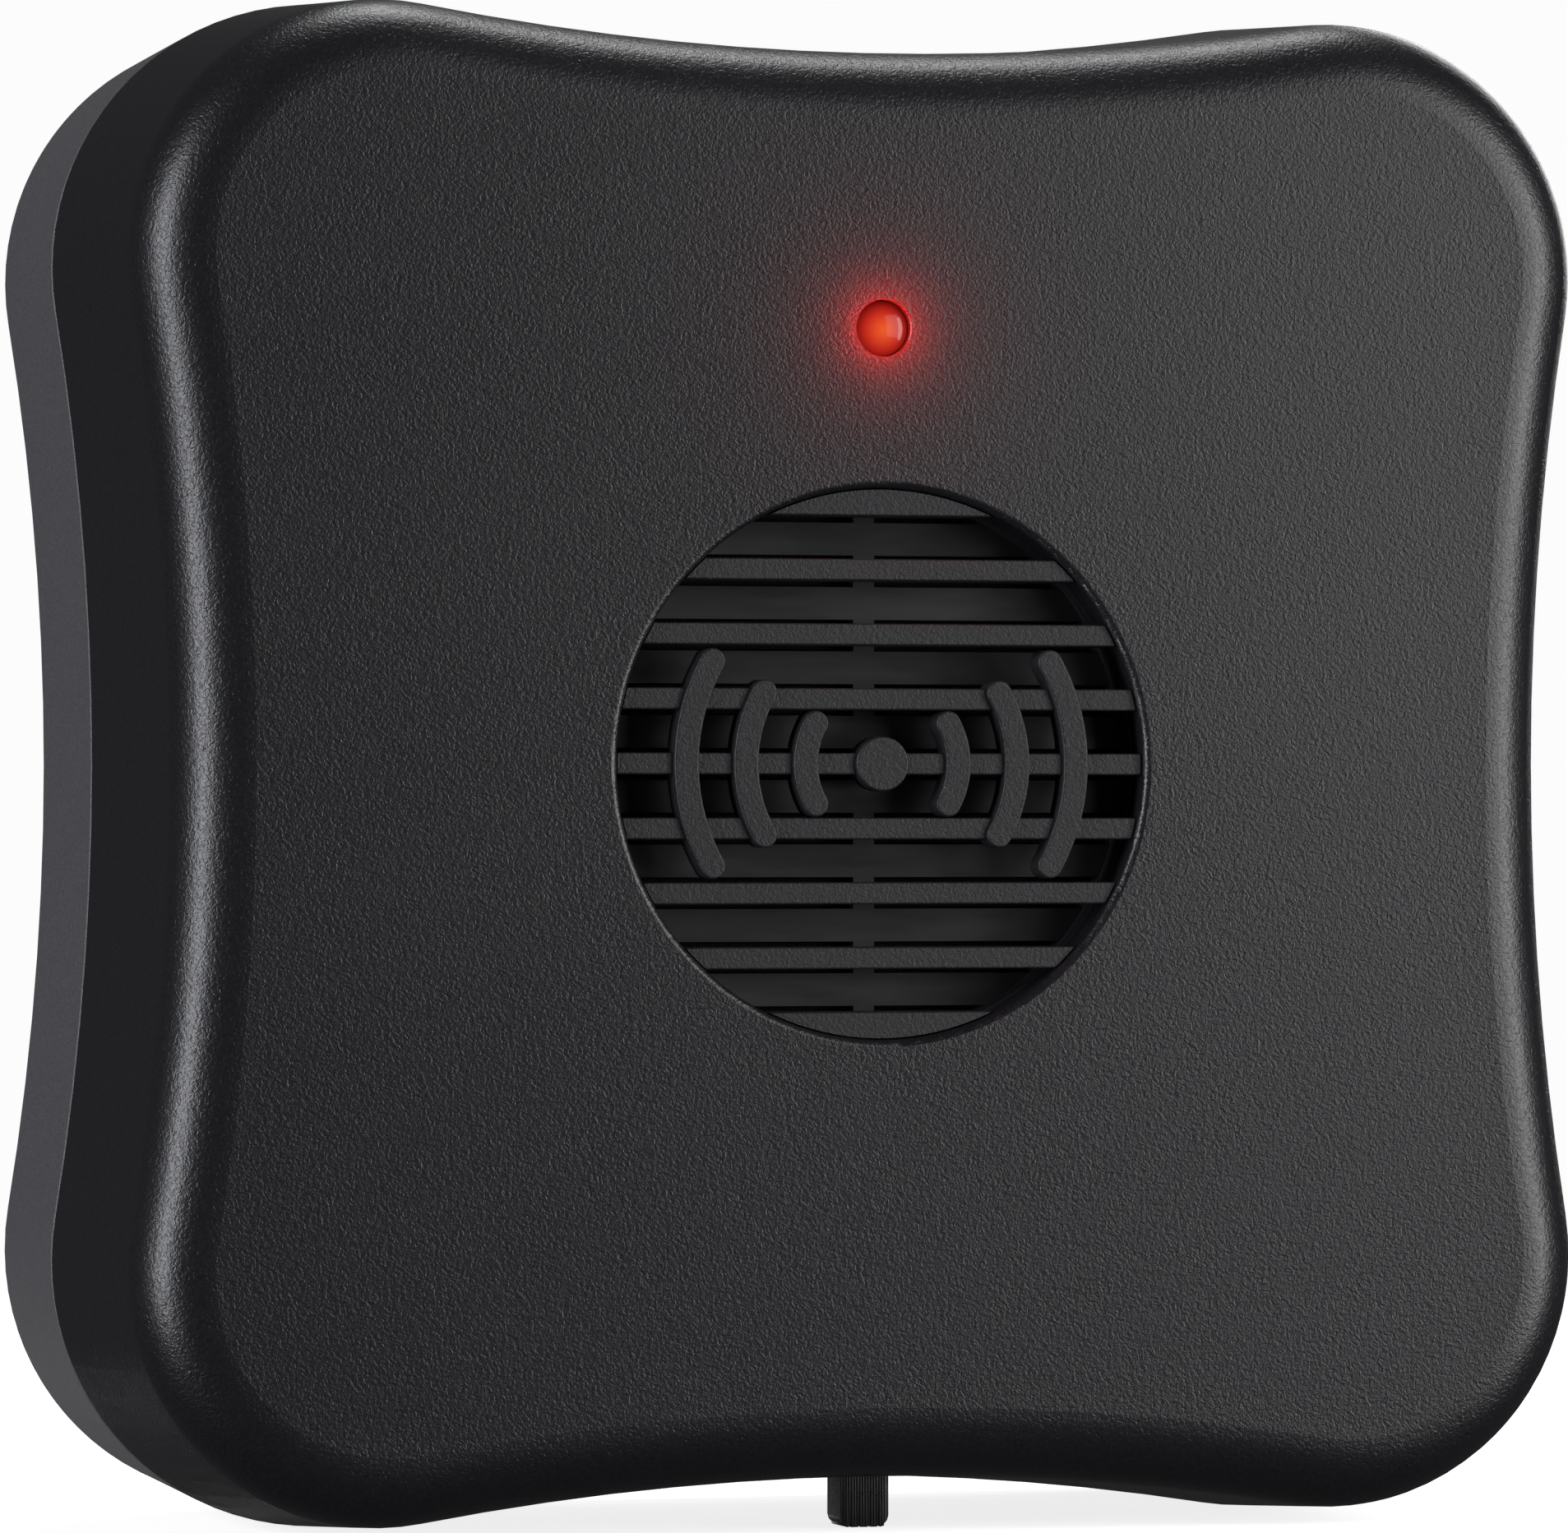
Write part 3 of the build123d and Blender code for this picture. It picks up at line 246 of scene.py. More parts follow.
@dataclass(frozen=True)
class SmoothAbs(Finish):
    """A plastic or ceramic from a polished tool: smooth, with faint drag lines.

    The lines and a slow unevenness keep its reflections from looking like glass.
    """

    streak_mm: float = 1.6
    bump_mm: float = 0.004
    ior: float = 1.53
    drag: ClassVar[Triple] = (0.18, 1.0, 1.0)
    sheen: ClassVar[Span] = (0.8, 1.25)
    shade: ClassVar[Span] = (0.85, 1.2)
    bump_strength: ClassVar[float] = 0.4

    def dress(self, tree: bpy.types.NodeTree, shader: bpy.types.Node,
              place: bpy.types.NodeSocket) -> None:
        """Add faint streaks in the sheen and a trace of unevenness.

        Args:
            tree: The material's node tree.
            shader: Its Principled shader.
            place: Object coordinates in metres.
        """
        dragged = add_node(tree, "ShaderNodeMapping", {"Vector": place, "Scale": self.drag})
        streak = add_node(tree, "ShaderNodeTexNoise",
                          {"Vector": dragged.outputs["Vector"],
                           "Scale": per_metre(self.streak_mm), "Detail": 4.0,
                           "Roughness": 0.6}).outputs["Fac"]
        add_node(tree, "ShaderNodeMapRange",
                 {**NOISE_CORE, "Value": streak, "To Min": self.roughness * self.sheen[0],
                  "To Max": self.roughness * self.sheen[1]},
                 {"Result": shader.inputs["Roughness"]})
        add_node(tree, "ShaderNodeBump",
                 {"Height": streak, "Strength": self.bump_strength,
                  "Distance": self.bump_mm * MM},
                 {"Normal": shader.inputs["Normal"]})
        tone = add_node(tree, "ShaderNodeMapRange",
                        {**NOISE_WIDE, "Value": streak, "To Min": self.shade[0],
                         "To Max": self.shade[1]})
        add_node(tree, "ShaderNodeHueSaturation",
                 {"Color": linear(self.colour), "Value": tone.outputs["Result"]},
                 {"Color": shader.inputs["Base Color"]})
        shader.inputs["IOR"].default_value = self.ior


@dataclass(frozen=True)
class PlatedMetal(Finish):
    """Rolled, drawn or plated metal: fine lines along one axis and small dull spots."""

    line_mm: float = 0.08
    stretch: Triple = (1.0, 1.0, 0.06)
    spot_mm: float = 1.8
    sheen: ClassVar[Span] = (0.75, 1.5)
    shade: ClassVar[Span] = (0.82, 1.05)
    bump_mm: ClassVar[float] = 0.003
    bump_strength: ClassVar[float] = 0.25
    sockets: ClassVar[dict[str, float]] = {"Metallic": 1.0}

    def dress(self, tree: bpy.types.NodeTree, shader: bpy.types.Node,
              place: bpy.types.NodeSocket) -> None:
        """Add working lines and the dull spots that handling leaves.

        Args:
            tree: The material's node tree.
            shader: Its Principled shader.
            place: Object coordinates in metres.
        """
        drawn = add_node(tree, "ShaderNodeMapping", {"Vector": place, "Scale": self.stretch})
        lines = add_node(tree, "ShaderNodeTexNoise",
                         {"Vector": drawn.outputs["Vector"], "Scale": per_metre(self.line_mm),
                          "Detail": 3.0}).outputs["Fac"]
        spots = add_node(tree, "ShaderNodeTexNoise",
                         {"Vector": place, "Scale": per_metre(self.spot_mm), "Detail": 5.0,
                          "Roughness": 0.65}).outputs["Fac"]
        both = add_node(tree, "ShaderNodeMath", {0: lines, 1: spots}, operation="MULTIPLY")
        add_node(tree, "ShaderNodeMapRange",
                 {"Value": both.outputs[0], "From Min": 0.12, "From Max": 0.4,
                  "To Min": self.roughness * self.sheen[0],
                  "To Max": self.roughness * self.sheen[1]},
                 {"Result": shader.inputs["Roughness"]})
        add_node(tree, "ShaderNodeBump",
                 {"Height": lines, "Strength": self.bump_strength,
                  "Distance": self.bump_mm * MM},
                 {"Normal": shader.inputs["Normal"]})
        tone = add_node(tree, "ShaderNodeMapRange",
                        {**NOISE_WIDE, "Value": spots, "To Min": self.shade[0],
                         "To Max": self.shade[1]})
        add_node(tree, "ShaderNodeHueSaturation",
                 {"Color": linear(self.colour), "Value": tone.outputs["Result"]},
                 {"Color": shader.inputs["Base Color"]})


@dataclass(frozen=True)
class BandedFilm(Finish):
    """A shrunk or lacquered film in bands of plain colour across one axis.

    The film has a thin clear top layer, so it shines over its colour.
    """

    bands: Stops
    start_mm: float
    length_mm: float
    axis: str
    ripple_mm: ClassVar[float] = 2.5
    sheen: ClassVar[Span] = (0.85, 1.2)
    shade: ClassVar[Span] = (0.93, 1.05)
    bump_mm: ClassVar[float] = 0.02
    bump_strength: ClassVar[float] = 0.3
    sockets: ClassVar[dict[str, float]] = {"Coat Weight": 0.6, "Coat Roughness": 0.08}

    def dress(self, tree: bpy.types.NodeTree, shader: bpy.types.Node,
              place: bpy.types.NodeSocket) -> None:
        """Paint the bands, soften the sheen and ripple the film a little.

        Args:
            tree: The material's node tree.
            shader: Its Principled shader.
            place: Object coordinates in metres.
        """
        split = add_node(tree, "ShaderNodeSeparateXYZ", {"Vector": place})
        along = add_node(tree, "ShaderNodeMapRange",
                         {"Value": split.outputs[self.axis], "From Min": self.start_mm * MM,
                          "From Max": (self.start_mm + self.length_mm) * MM})
        paint = add_node(tree, "ShaderNodeValToRGB", {"Fac": along.outputs["Result"]},
                         stops=self.bands)
        paint.color_ramp.interpolation = "CONSTANT"
        ripple = add_node(tree, "ShaderNodeTexNoise",
                          {"Vector": place, "Scale": per_metre(self.ripple_mm),
                           "Detail": 4.0}).outputs["Fac"]
        tone = add_node(tree, "ShaderNodeMapRange",
                        {**NOISE_CORE, "Value": ripple, "To Min": self.shade[0],
                         "To Max": self.shade[1]})
        add_node(tree, "ShaderNodeHueSaturation",
                 {"Color": paint.outputs["Color"], "Value": tone.outputs["Result"]},
                 {"Color": shader.inputs["Base Color"]})
        add_node(tree, "ShaderNodeBump",
                 {"Height": ripple, "Strength": self.bump_strength,
                  "Distance": self.bump_mm * MM},
                 {"Normal": shader.inputs["Normal"]})
        add_node(tree, "ShaderNodeMapRange",
                 {**NOISE_CORE, "Value": ripple, "To Min": self.roughness * self.sheen[0],
                  "To Max": self.roughness * self.sheen[1]},
                 {"Result": shader.inputs["Roughness"]})


@dataclass(frozen=True)
class LitEpoxy(Finish):
    """Red-tinted clear epoxy over a lit die: brightest where the die is seen through it.

    Its own light hides most of what it reflects, so its clear surface is kept faint.
    """

    middle: Span = (0.0, 66.28)
    radius_mm: float = 1.5
    tones: Stops = ((0.0, "d8642c"), (0.35, "d04a26"), (0.7, "b8281c"), (1.0, "6e0c0a"))
    swirl_mm: ClassVar[float] = 0.9
    sheen: ClassVar[Span] = (0.7, 1.4)
    sockets: ClassVar[dict[str, float]] = {
        "Emission Strength": 0.9, "Specular IOR Level": 0.1, "Coat Weight": 0.25,
        "Coat Roughness": 0.05}

    def dress(self, tree: bpy.types.NodeTree, shader: bpy.types.Node,
              place: bpy.types.NodeSocket) -> None:
        """Light the epoxy by its distance from the die's axis.

        Args:
            tree: The material's node tree.
            shader: Its Principled shader.
            place: Object coordinates in metres.
        """
        across, above = self.middle
        centred = add_node(tree, "ShaderNodeMapping",
                           {"Vector": place, "Location": (-across * MM, 0.0, -above * MM),
                            "Scale": (1.0, 0.0, 1.0)})
        reach = add_node(tree, "ShaderNodeVectorMath", {0: centred.outputs["Vector"]},
                         operation="LENGTH")
        share = add_node(tree, "ShaderNodeMath",
                         {0: reach.outputs["Value"], 1: self.radius_mm * MM},
                         operation="DIVIDE")
        add_node(tree, "ShaderNodeValToRGB", {"Fac": share.outputs[0]},
                 {"Color": shader.inputs["Emission Color"]}, self.tones)
        swirl = add_node(tree, "ShaderNodeTexNoise",
                         {"Vector": place, "Scale": per_metre(self.swirl_mm), "Detail": 2.0})
        add_node(tree, "ShaderNodeMapRange",
                 {"Value": swirl.outputs["Fac"], "To Min": self.roughness * self.sheen[0],
                  "To Max": self.roughness * self.sheen[1]},
                 {"Result": shader.inputs["Roughness"]})


@dataclass(frozen=True)
class PaperLaminate(Finish):
    """Phenolic paper board: pale fibres in amber resin under a thin clear mask."""

    fibre_mm: float = 0.35
    fibre_colour: ClassVar[str] = "c39a55"
    runs: ClassVar[tuple[Triple, Triple]] = ((0.15, 1.0, 1.0), (1.0, 1.0, 0.15))
    bump_mm: ClassVar[float] = 0.02
    bump_strength: ClassVar[float] = 0.3
    sockets: ClassVar[dict[str, float]] = {"Coat Weight": 0.4, "Coat Roughness": 0.2}

    def dress(self, tree: bpy.types.NodeTree, shader: bpy.types.Node,
              place: bpy.types.NodeSocket) -> None:
        """Add the crossed paper fibres and the mask's sheen.

        Args:
            tree: The material's node tree.
            shader: Its Principled shader.
            place: Object coordinates in metres.
        """
        layers = []
        for stretch in self.runs:
            run = add_node(tree, "ShaderNodeMapping", {"Vector": place, "Scale": stretch})
            layers.append(add_node(tree, "ShaderNodeTexNoise",
                                   {"Vector": run.outputs["Vector"],
                                    "Scale": per_metre(self.fibre_mm),
                                    "Detail": 3.0}).outputs["Fac"])
        weave = add_node(tree, "ShaderNodeMath", {0: layers[0], 1: layers[1]},
                         operation="MULTIPLY").outputs[0]
        add_node(tree, "ShaderNodeValToRGB", {"Fac": weave},
                 {"Color": shader.inputs["Base Color"]},
                 ((0.15, self.colour), (0.42, self.fibre_colour)))
        add_node(tree, "ShaderNodeBump",
                 {"Height": weave, "Strength": self.bump_strength,
                  "Distance": self.bump_mm * MM},
                 {"Normal": shader.inputs["Normal"]})


@dataclass(frozen=True)
class CellFoam(Finish):
    """Closed-cell foam or felted cloth: many small round cells, and no shine."""

    cell_mm: float = 0.3
    # Painted shade: the colour that the floors of the cells are darkened to.
    painted_pit_shade: ClassVar[str] = "0d0d0d"
    bump_mm: ClassVar[float] = 0.08
    bump_strength: ClassVar[float] = 0.8

    def dress(self, tree: bpy.types.NodeTree, shader: bpy.types.Node,
              place: bpy.types.NodeSocket) -> None:
        """Add the cells as pits, with painted shade darkening their floors.

        Args:
            tree: The material's node tree.
            shader: Its Principled shader.
            place: Object coordinates in metres.
        """
        cells = add_node(tree, "ShaderNodeTexVoronoi",
                         {"Vector": place, "Scale": per_metre(self.cell_mm)}).outputs["Distance"]
        # The cell floors are darkened with painted shade, lightening towards the cell walls.
        add_node(tree, "ShaderNodeValToRGB", {"Fac": cells},
                 {"Color": shader.inputs["Base Color"]},
                 ((0.1, self.painted_pit_shade), (0.6, self.colour)))
        add_node(tree, "ShaderNodeBump",
                 {"Height": cells, "Strength": self.bump_strength,
                  "Distance": self.bump_mm * MM},
                 {"Normal": shader.inputs["Normal"]})


# The case is black ABS whose coarse grain sparkles in a satin sheen. The grille's bars are
# duller, and the rear shell and door are a greyer charcoal with a finer grain. Part of their
# grey is painted reflection: the bright room that their sides catch at a grazing angle.
FACE_ABS = GrainedAbs("ABS_black_spark_grained", "131317", 0.34, grain_mm=0.21,
                      depth_mm=0.038, strength=1.0, tint="1c1c20")
# Its colour is lightened partly as painted reflection of the bright room along the rear shell's
# sides.
REAR_ABS = GrainedAbs("ABS_charcoal_fine_grained_painted_reflection", "454547", 0.52, grain_mm=0.17,
                      depth_mm=0.03, strength=0.9, tint="58585b")
GRILLE_ABS = GrainedAbs("ABS_black_grille_grained", "131317", 0.54, grain_mm=0.21,
                        depth_mm=0.04, strength=1.0, tint="1c1c20")
# Plain mouldings inside are smooth and dull. The acetal knob is polished by its tool and
# shines. The near-black cloth behind the louvres has almost no sheen; it is painted shade,
# a dark sheet that keeps the gaps between the louvres dark.
SCREEN_ABS = SmoothAbs("ABS_black_smooth_moulded", "1d1e20", 0.65)
INNER_ABS = SmoothAbs("ABS_black_inner_moulding", "202124", 0.45)
KNOB_ACETAL = SmoothAbs("acetal_black_polished", "0b0b0d", 0.3, streak_mm=0.9,
                        bump_mm=0.003, ior=1.48)
SPACER_NYLON = SmoothAbs("nylon_natural", "cfc9ba", 0.4)
# Painted shade: a near-black cloth that keeps the gaps behind the louvres dark.
SHADE_CLOTH = CellFoam("cloth_black_painted_shade", "0c0c0c", 0.95, cell_mm=0.18)
GASKET_FOAM = CellFoam("foam_black_closed_cell", "2a2a2a", 0.9)
# The lamp's epoxy glows orange in its middle and deep red at its rim.
LAMP_EPOXY = LitEpoxy("epoxy_red_tinted_lit", "060000", 0.2)
# The speaker is a yellow brass disc with a matt silvered ceramic on it.
BRASS = PlatedMetal("brass_rolled_sheet", "c9a55a", 0.28)
CERAMIC = SmoothAbs("ceramic_silvered", "d8d4c8", 0.35)
# The cone is black as painted shade, so that what shows through the louvres stays dark.
CONE_PAINTED_SHADE = SmoothAbs("polyester_film_black_painted_shade", "101012", 0.5)
RED_WIRE = SmoothAbs("PVC_insulation_red", "a3161a", 0.35)
BLACK_WIRE = SmoothAbs("PVC_insulation_black", "161618", 0.35)
# On the board, dull moulded chips and ferrite stand among bright tinned and drawn metal.
LAMINATE = PaperLaminate("phenolic_paper_laminate", "8a6230", 0.45)
PHENOLIC = SmoothAbs("phenolic_pressed_laminate", "6b4526", 0.5)
CHIP_EPOXY = SmoothAbs("epoxy_moulding_compound", "1c1c1d", 0.6)
FERRITE = SmoothAbs("ferrite_sintered", "4a4b4e", 0.55)
COPPER = PlatedMetal("copper_enamelled_wire", "b8622c", 0.22, line_mm=0.05,
                     stretch=(1.0, 1.0, 1.0))
TINNED = PlatedMetal("tin_plated_copper", "c8c8c4", 0.25)
ALUMINIUM = PlatedMetal("aluminium_drawn_can", "c4c6c9", 0.3)
STEEL = PlatedMetal("steel_tin_plated", "b9b9b6", 0.32)
# Zinc plate on the screws is greyer and duller than the nickel on springs and contacts.
ZINC = PlatedMetal("steel_zinc_plated", "aeb0b3", 0.3, line_mm=0.06,
                   stretch=(1.0, 0.08, 1.0))
NICKEL = PlatedMetal("steel_nickel_plated", "cfcdc6", 0.18)


# ---- Modelling helpers ------------------------------------------------------
def only(piece: bpy.types.Object) -> None:
    """Make a piece the only selected and the active object."""
    if bpy.context.object and bpy.context.object.mode != "OBJECT":
        bpy.ops.object.mode_set(mode="OBJECT")
    bpy.ops.object.select_all(action="DESELECT")
    piece.select_set(True)
    bpy.context.view_layer.objects.active = piece


@contextmanager
def editing(piece: bpy.types.Object, kind: str = "FACE") -> Iterator[None]:
    """Open a piece in edit mode with nothing selected, and close it again.

    Args:
        piece: The piece to edit.
        kind: The selection mode, VERT, EDGE or FACE.

    Yields:
        Nothing.
    """
    only(piece)
    bpy.ops.object.mode_set(mode="EDIT")
    bpy.ops.mesh.select_mode(type=kind)
    bpy.ops.mesh.select_all(action="DESELECT")
    yield
    bpy.ops.object.mode_set(mode="OBJECT")


def pick_faces(piece: bpy.types.Object, test: Test) -> None:
    """Select the faces whose middle and normal pass a test.

    Args:
        piece: The piece in edit mode.
        test: Takes a face's middle in metres and its normal.
    """
    shape = bmesh.from_edit_mesh(piece.data)
    for face in shape.faces:
        face.select_set(test(face.calc_center_median(), face.normal))
    bmesh.update_edit_mesh(piece.data)


def pick_edges(piece: bpy.types.Object, test: Callable[[bmesh.types.BMEdge], bool]) -> None:
    """Select the edges that pass a test.

    Args:
        piece: The piece in edit mode.
        test: Takes an edge.
    """
    shape = bmesh.from_edit_mesh(piece.data)
    for edge in shape.edges:
        edge.select_set(test(edge))
    bmesh.update_edit_mesh(piece.data)


def shift(x: float = 0.0, y: float = 0.0, z: float = 0.0) -> dict[str, Triple]:
    """Give an extrusion's move in millimetres as the operator takes it."""
    return {"value": (x * MM, y * MM, z * MM)}


def spread(across: float, along: float, centre: Triple) -> None:
    """Scale the selection in X and Z about a point, and in Y apart from them.

    Args:
        across: Factor in X and Z.
        along: Factor in Y.
        centre: The fixed point, in millimetres.
    """
    bpy.ops.transform.resize(value=(across, along, across),
                             center_override=tuple(c * MM for c in centre))


def settle(piece: bpy.types.Object, name: str, smooth_deg: float = 35.0) -> bpy.types.Object:
    """Name a piece, move its place into its mesh and shade it.

    Args:
        piece: The piece.
        name: Its name.
        smooth_deg: Edges flatter than this shade smooth.

    Returns:
        The same piece.
    """
    only(piece)
    bpy.ops.object.transform_apply(location=True, rotation=True, scale=True)
    piece.name = name
    piece.data.name = name
    bpy.ops.object.shade_smooth_by_angle(angle=math.radians(smooth_deg))
    return piece


def soften(piece: bpy.types.Object, width_mm: float, segments: int = 2,
           angle_deg: float = 40.0) -> None:
    """Round a piece's edges with a bevel that is applied.

    Args:
        piece: The piece.
        width_mm: How far the rounding reaches.
        segments: Faces across it.
        angle_deg: Only edges sharper than this are rounded.
    """
    only(piece)
    bevel = piece.modifiers.new("rounding", "BEVEL")
    bevel.width = width_mm * MM
    bevel.segments = segments
    bevel.limit_method = "ANGLE"
    bevel.angle_limit = math.radians(angle_deg)
    bpy.ops.object.modifier_apply(modifier=bevel.name)


def keep(piece: bpy.types.Object, body: Body, finish: Finish,
         stands_for: Sequence[str] = ()) -> bpy.types.Object:
    """Finish a new piece and tie it to its body.

    Args:
        piece: The piece, in place.
        body: The body it moves with.
        finish: Its finish.
        stands_for: CAD nodes that it replaces.

    Returns:
        The same piece.
    """
    piece.data.materials.clear()
    finish.to(piece)
    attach(piece, body.value)
    if stands_for:
        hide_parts(*stands_for)
    LOG.info("%s rides on %s, %d faces", piece.name, body.value, len(piece.data.polygons))
    return piece


# ---- The case ---------------------------------------------------------------
@dataclass
class Case:
    """The two shells of the case and the screws that hold them."""

    screw_count: int = 4

    def build(self) -> None:
        """Grain the shells and plate the screws."""
        FACE_ABS.to("front_shell")
        REAR_ABS.to("rear_shell")
        ZINC.to(*[f"case_screw_{i + 1}" for i in range(self.screw_count)])


@dataclass
class Grille:
    """The round speaker grille and the louvre screen behind its bars."""

    def build(self) -> None:
        """Grain the bars and leave the louvres smooth."""
        GRILLE_ABS.to("speaker_grille")
        SCREEN_ABS.to("louvre_screen")


@dataclass
class Lamp:
    """The red lamp: a domed epoxy body over its leads, on a nylon spacer.

    Sizes are in millimetres.
    """

    radius: float = 1.5
    dome_height: float = 0.4
    tip_y: float = -17.23
    base_y: float = -11.93
    height: float = 66.4
    flange_radius: float = 1.9
    flange_height: float = 1.0
    edge: float = 0.08
    slices: int = 56
    rings: int = 48

    def lens(self) -> bpy.types.Object:
        """Model the domed body from a sphere's cap, drawn back into its flange.

        Returns:
            The lens.
        """
        curve = (self.radius ** 2 + self.dome_height ** 2) / (2 * self.dome_height)
        dome_y = self.tip_y + self.dome_height
        bpy.ops.object.select_all(action="DESELECT")
        bpy.ops.mesh.primitive_uv_sphere_add(
            segments=self.slices, ring_count=self.rings, radius=curve * MM,
            location=(0.0, (self.tip_y + curve) * MM, self.height * MM),
            rotation=(math.pi / 2, 0.0, 0.0))
        lens = settle(bpy.context.object, "lamp_dome")
        axis = (0.0, dome_y, self.height)
        with editing(lens, "EDGE"):
            bpy.ops.mesh.select_all(action="SELECT")
            bpy.ops.mesh.bisect(plane_co=tuple(a * MM for a in axis), plane_no=(0, 1, 0),
                                clear_outer=True, threshold=TOGETHER)
            pick_edges(lens, lambda edge: edge.is_boundary)
            self.draw_back(self.base_y - self.flange_height - dome_y)
            self.draw_back(0.0)
            spread(self.flange_radius / self.radius, 1.0, axis)
            self.draw_back(self.flange_height)
            bpy.ops.mesh.edge_face_add()
            bpy.ops.mesh.select_all(action="SELECT")
            bpy.ops.mesh.remove_doubles(threshold=TOGETHER)
            bpy.ops.mesh.normals_make_consistent(inside=False)
        soften(lens, self.edge)
        return settle(lens, "lamp_dome")

    @staticmethod
    def draw_back(distance: float) -> None:
        """Extrude the open rim towards the back, in millimetres."""
        bpy.ops.mesh.extrude_region_move(TRANSFORM_OT_translate=shift(y=distance))

    def build(self) -> None:
        """Make the lens and dress the leads and spacer."""
        keep(self.lens(), Body.CASE, LAMP_EPOXY, ("lamp_lens",))
        TINNED.to("lamp_lead_left", "lamp_lead_right")
        SPACER_NYLON.to("lamp_spacer")


@dataclass
class SlideSwitch:
    """The slide switch: a ribbed knob on a dust plate, over a plated can.

    Sizes are in millimetres.
    """

    middle_x: float = 1.45
    middle_y: float = -7.85
    width: float = 2.8
    thickness: float = 2.5
    tip_z: float = 0.06
    plate_bottom: float = 5.64
    plate_top: float = 6.44
    plate_length: float = 12.0
    plate_width: float = 4.6
    plate_corner: float = 0.6
    plate_edge: float = 0.1
    head_inset: float = 0.1
    rib_count: int = 18
    rib_depth: float = 0.02
    ridge_count: int = 5
    ridge_depth: float = 0.12
    ridge_room: float = 0.15
    corner: float = 0.5
    corner_segments: int = 5
    edge: float = 0.008
    near: float = 0.01
    facing_side: float = 0.9
    facing_down: float = 0.8
    pin_count: int = 3

    @property
    def strips(self) -> int:
        """Count the strips across the knob: the ribs and the gaps between them."""
        return 2 * self.rib_count - 1

    @property
    def left(self) -> float:
        """Give the place of the knob's left side."""
        return self.middle_x - self.width / 2

    @property
    def pitch(self) -> float:
        """Give the width of one strip."""
        return self.width / self.strips

    @property
    def foot(self) -> float:
        """Give the height of the knob's foot, before its ridges are drawn down."""
        return self.tip_z + self.ridge_depth

    def strip(self, centre: Vector) -> int:
        """Number the strip that a point in metres is on, from the left."""
        return int((centre.x / MM - self.left) / self.pitch)

    def is_rib(self, centre: Vector) -> bool:
        """Say whether a point's strip is raised as a rib."""
        return self.strip(centre) % 2 == 0

    def is_ridge(self, centre: Vector) -> bool:
        """Say whether a point's strip is raised as part of a ridge under the foot."""
        step = self.strips // self.ridge_count
        return 0 < self.strip(centre) % step < step - 1

    def round_corners(self, knob: bpy.types.Object) -> None:
        """Lift the foot's edges near both sides, row by row, into round corners.

        Args:
            knob: The knob, in edit mode with edges picked.
        """
        for i in range(self.strips + 1):
            inward = min(i, self.strips - i) * self.pitch
            if inward < self.corner:
                at = (self.left + i * self.pitch) * MM
                pick_edges(knob, lambda edge, x=at: all(
                    abs(v.co.x - x) < self.pitch / 4 * MM
                    and v.co.z < (self.foot + self.near) * MM for v in edge.verts))
                rise = self.corner - math.sqrt(self.corner ** 2 - (self.corner - inward) ** 2)
                bpy.ops.transform.translate(**shift(z=rise))

    def knob(self) -> bpy.types.Object:
        """Model the knob: a column drawn up from a strip of ribs, on its dust plate.

        Returns:
            The knob with its plate.
        """
        deep = self.thickness - 2 * self.rib_depth
        bpy.ops.object.select_all(action="DESELECT")
        bpy.ops.mesh.primitive_grid_add(
            x_subdivisions=self.strips, y_subdivisions=1, size=1.0,
            location=(self.middle_x * MM, self.middle_y * MM, self.foot * MM))
        knob = bpy.context.object
        knob.scale = (self.width * MM, deep * MM, 1.0)
        settle(knob, "switch_thumb_knob")
        with editing(knob):
            bpy.ops.mesh.select_all(action="SELECT")
            self.draw_out(z=self.plate_top - self.foot - self.head_inset)
            bpy.ops.mesh.select_all(action="SELECT")
            bpy.ops.mesh.normals_make_consistent(inside=False)
            bpy.ops.mesh.select_mode(type="EDGE")
            self.round_corners(knob)
            bpy.ops.mesh.select_mode(type="FACE")
            for side in Side:
                pick_faces(knob, lambda c, n, s=side: n.y * s.value > self.facing_side
                           and self.is_rib(c))
                self.draw_out(y=side.value * self.rib_depth)
            pick_faces(knob, lambda c, n: n.z < -self.facing_down
                       and c.z < (self.foot + self.ridge_room) * MM
                       and self.is_ridge(c) and abs(c.y / MM - self.middle_y) < deep / 2)
            self.draw_out(z=-self.ridge_depth)
        soften(knob, self.edge)
        plate = self.dust_plate()
        only(knob)
        plate.select_set(True)
        bpy.ops.object.join()
        return settle(knob, "switch_thumb_knob")

    @staticmethod
    def draw_out(y: float = 0.0, z: float = 0.0) -> None:
        """Extrude the selected faces as a region, by a move in millimetres."""
        bpy.ops.mesh.extrude_region_move(TRANSFORM_OT_translate=shift(y=y, z=z))

    def dust_plate(self) -> bpy.types.Object:
        """Model the plate that closes the slot: a thin slab with round corners.

        Returns:
            The plate.
        """
        bpy.ops.object.select_all(action="DESELECT")
        bpy.ops.mesh.primitive_plane_add(
            size=1.0, location=(self.middle_x * MM, self.middle_y * MM, self.plate_bottom * MM))
        plate = bpy.context.object
        plate.scale = (self.plate_length * MM, self.plate_width * MM, 1.0)
        settle(plate, "dust_plate")
        with editing(plate, "VERT"):
            bpy.ops.mesh.select_all(action="SELECT")
            bpy.ops.mesh.bevel(offset=self.plate_corner * MM, segments=self.corner_segments,
                               affect="VERTICES")
            bpy.ops.mesh.select_all(action="SELECT")
            self.draw_out(z=self.plate_top - self.plate_bottom)
            bpy.ops.mesh.select_all(action="SELECT")
            bpy.ops.mesh.normals_make_consistent(inside=False)
        soften(plate, self.plate_edge)
        return plate

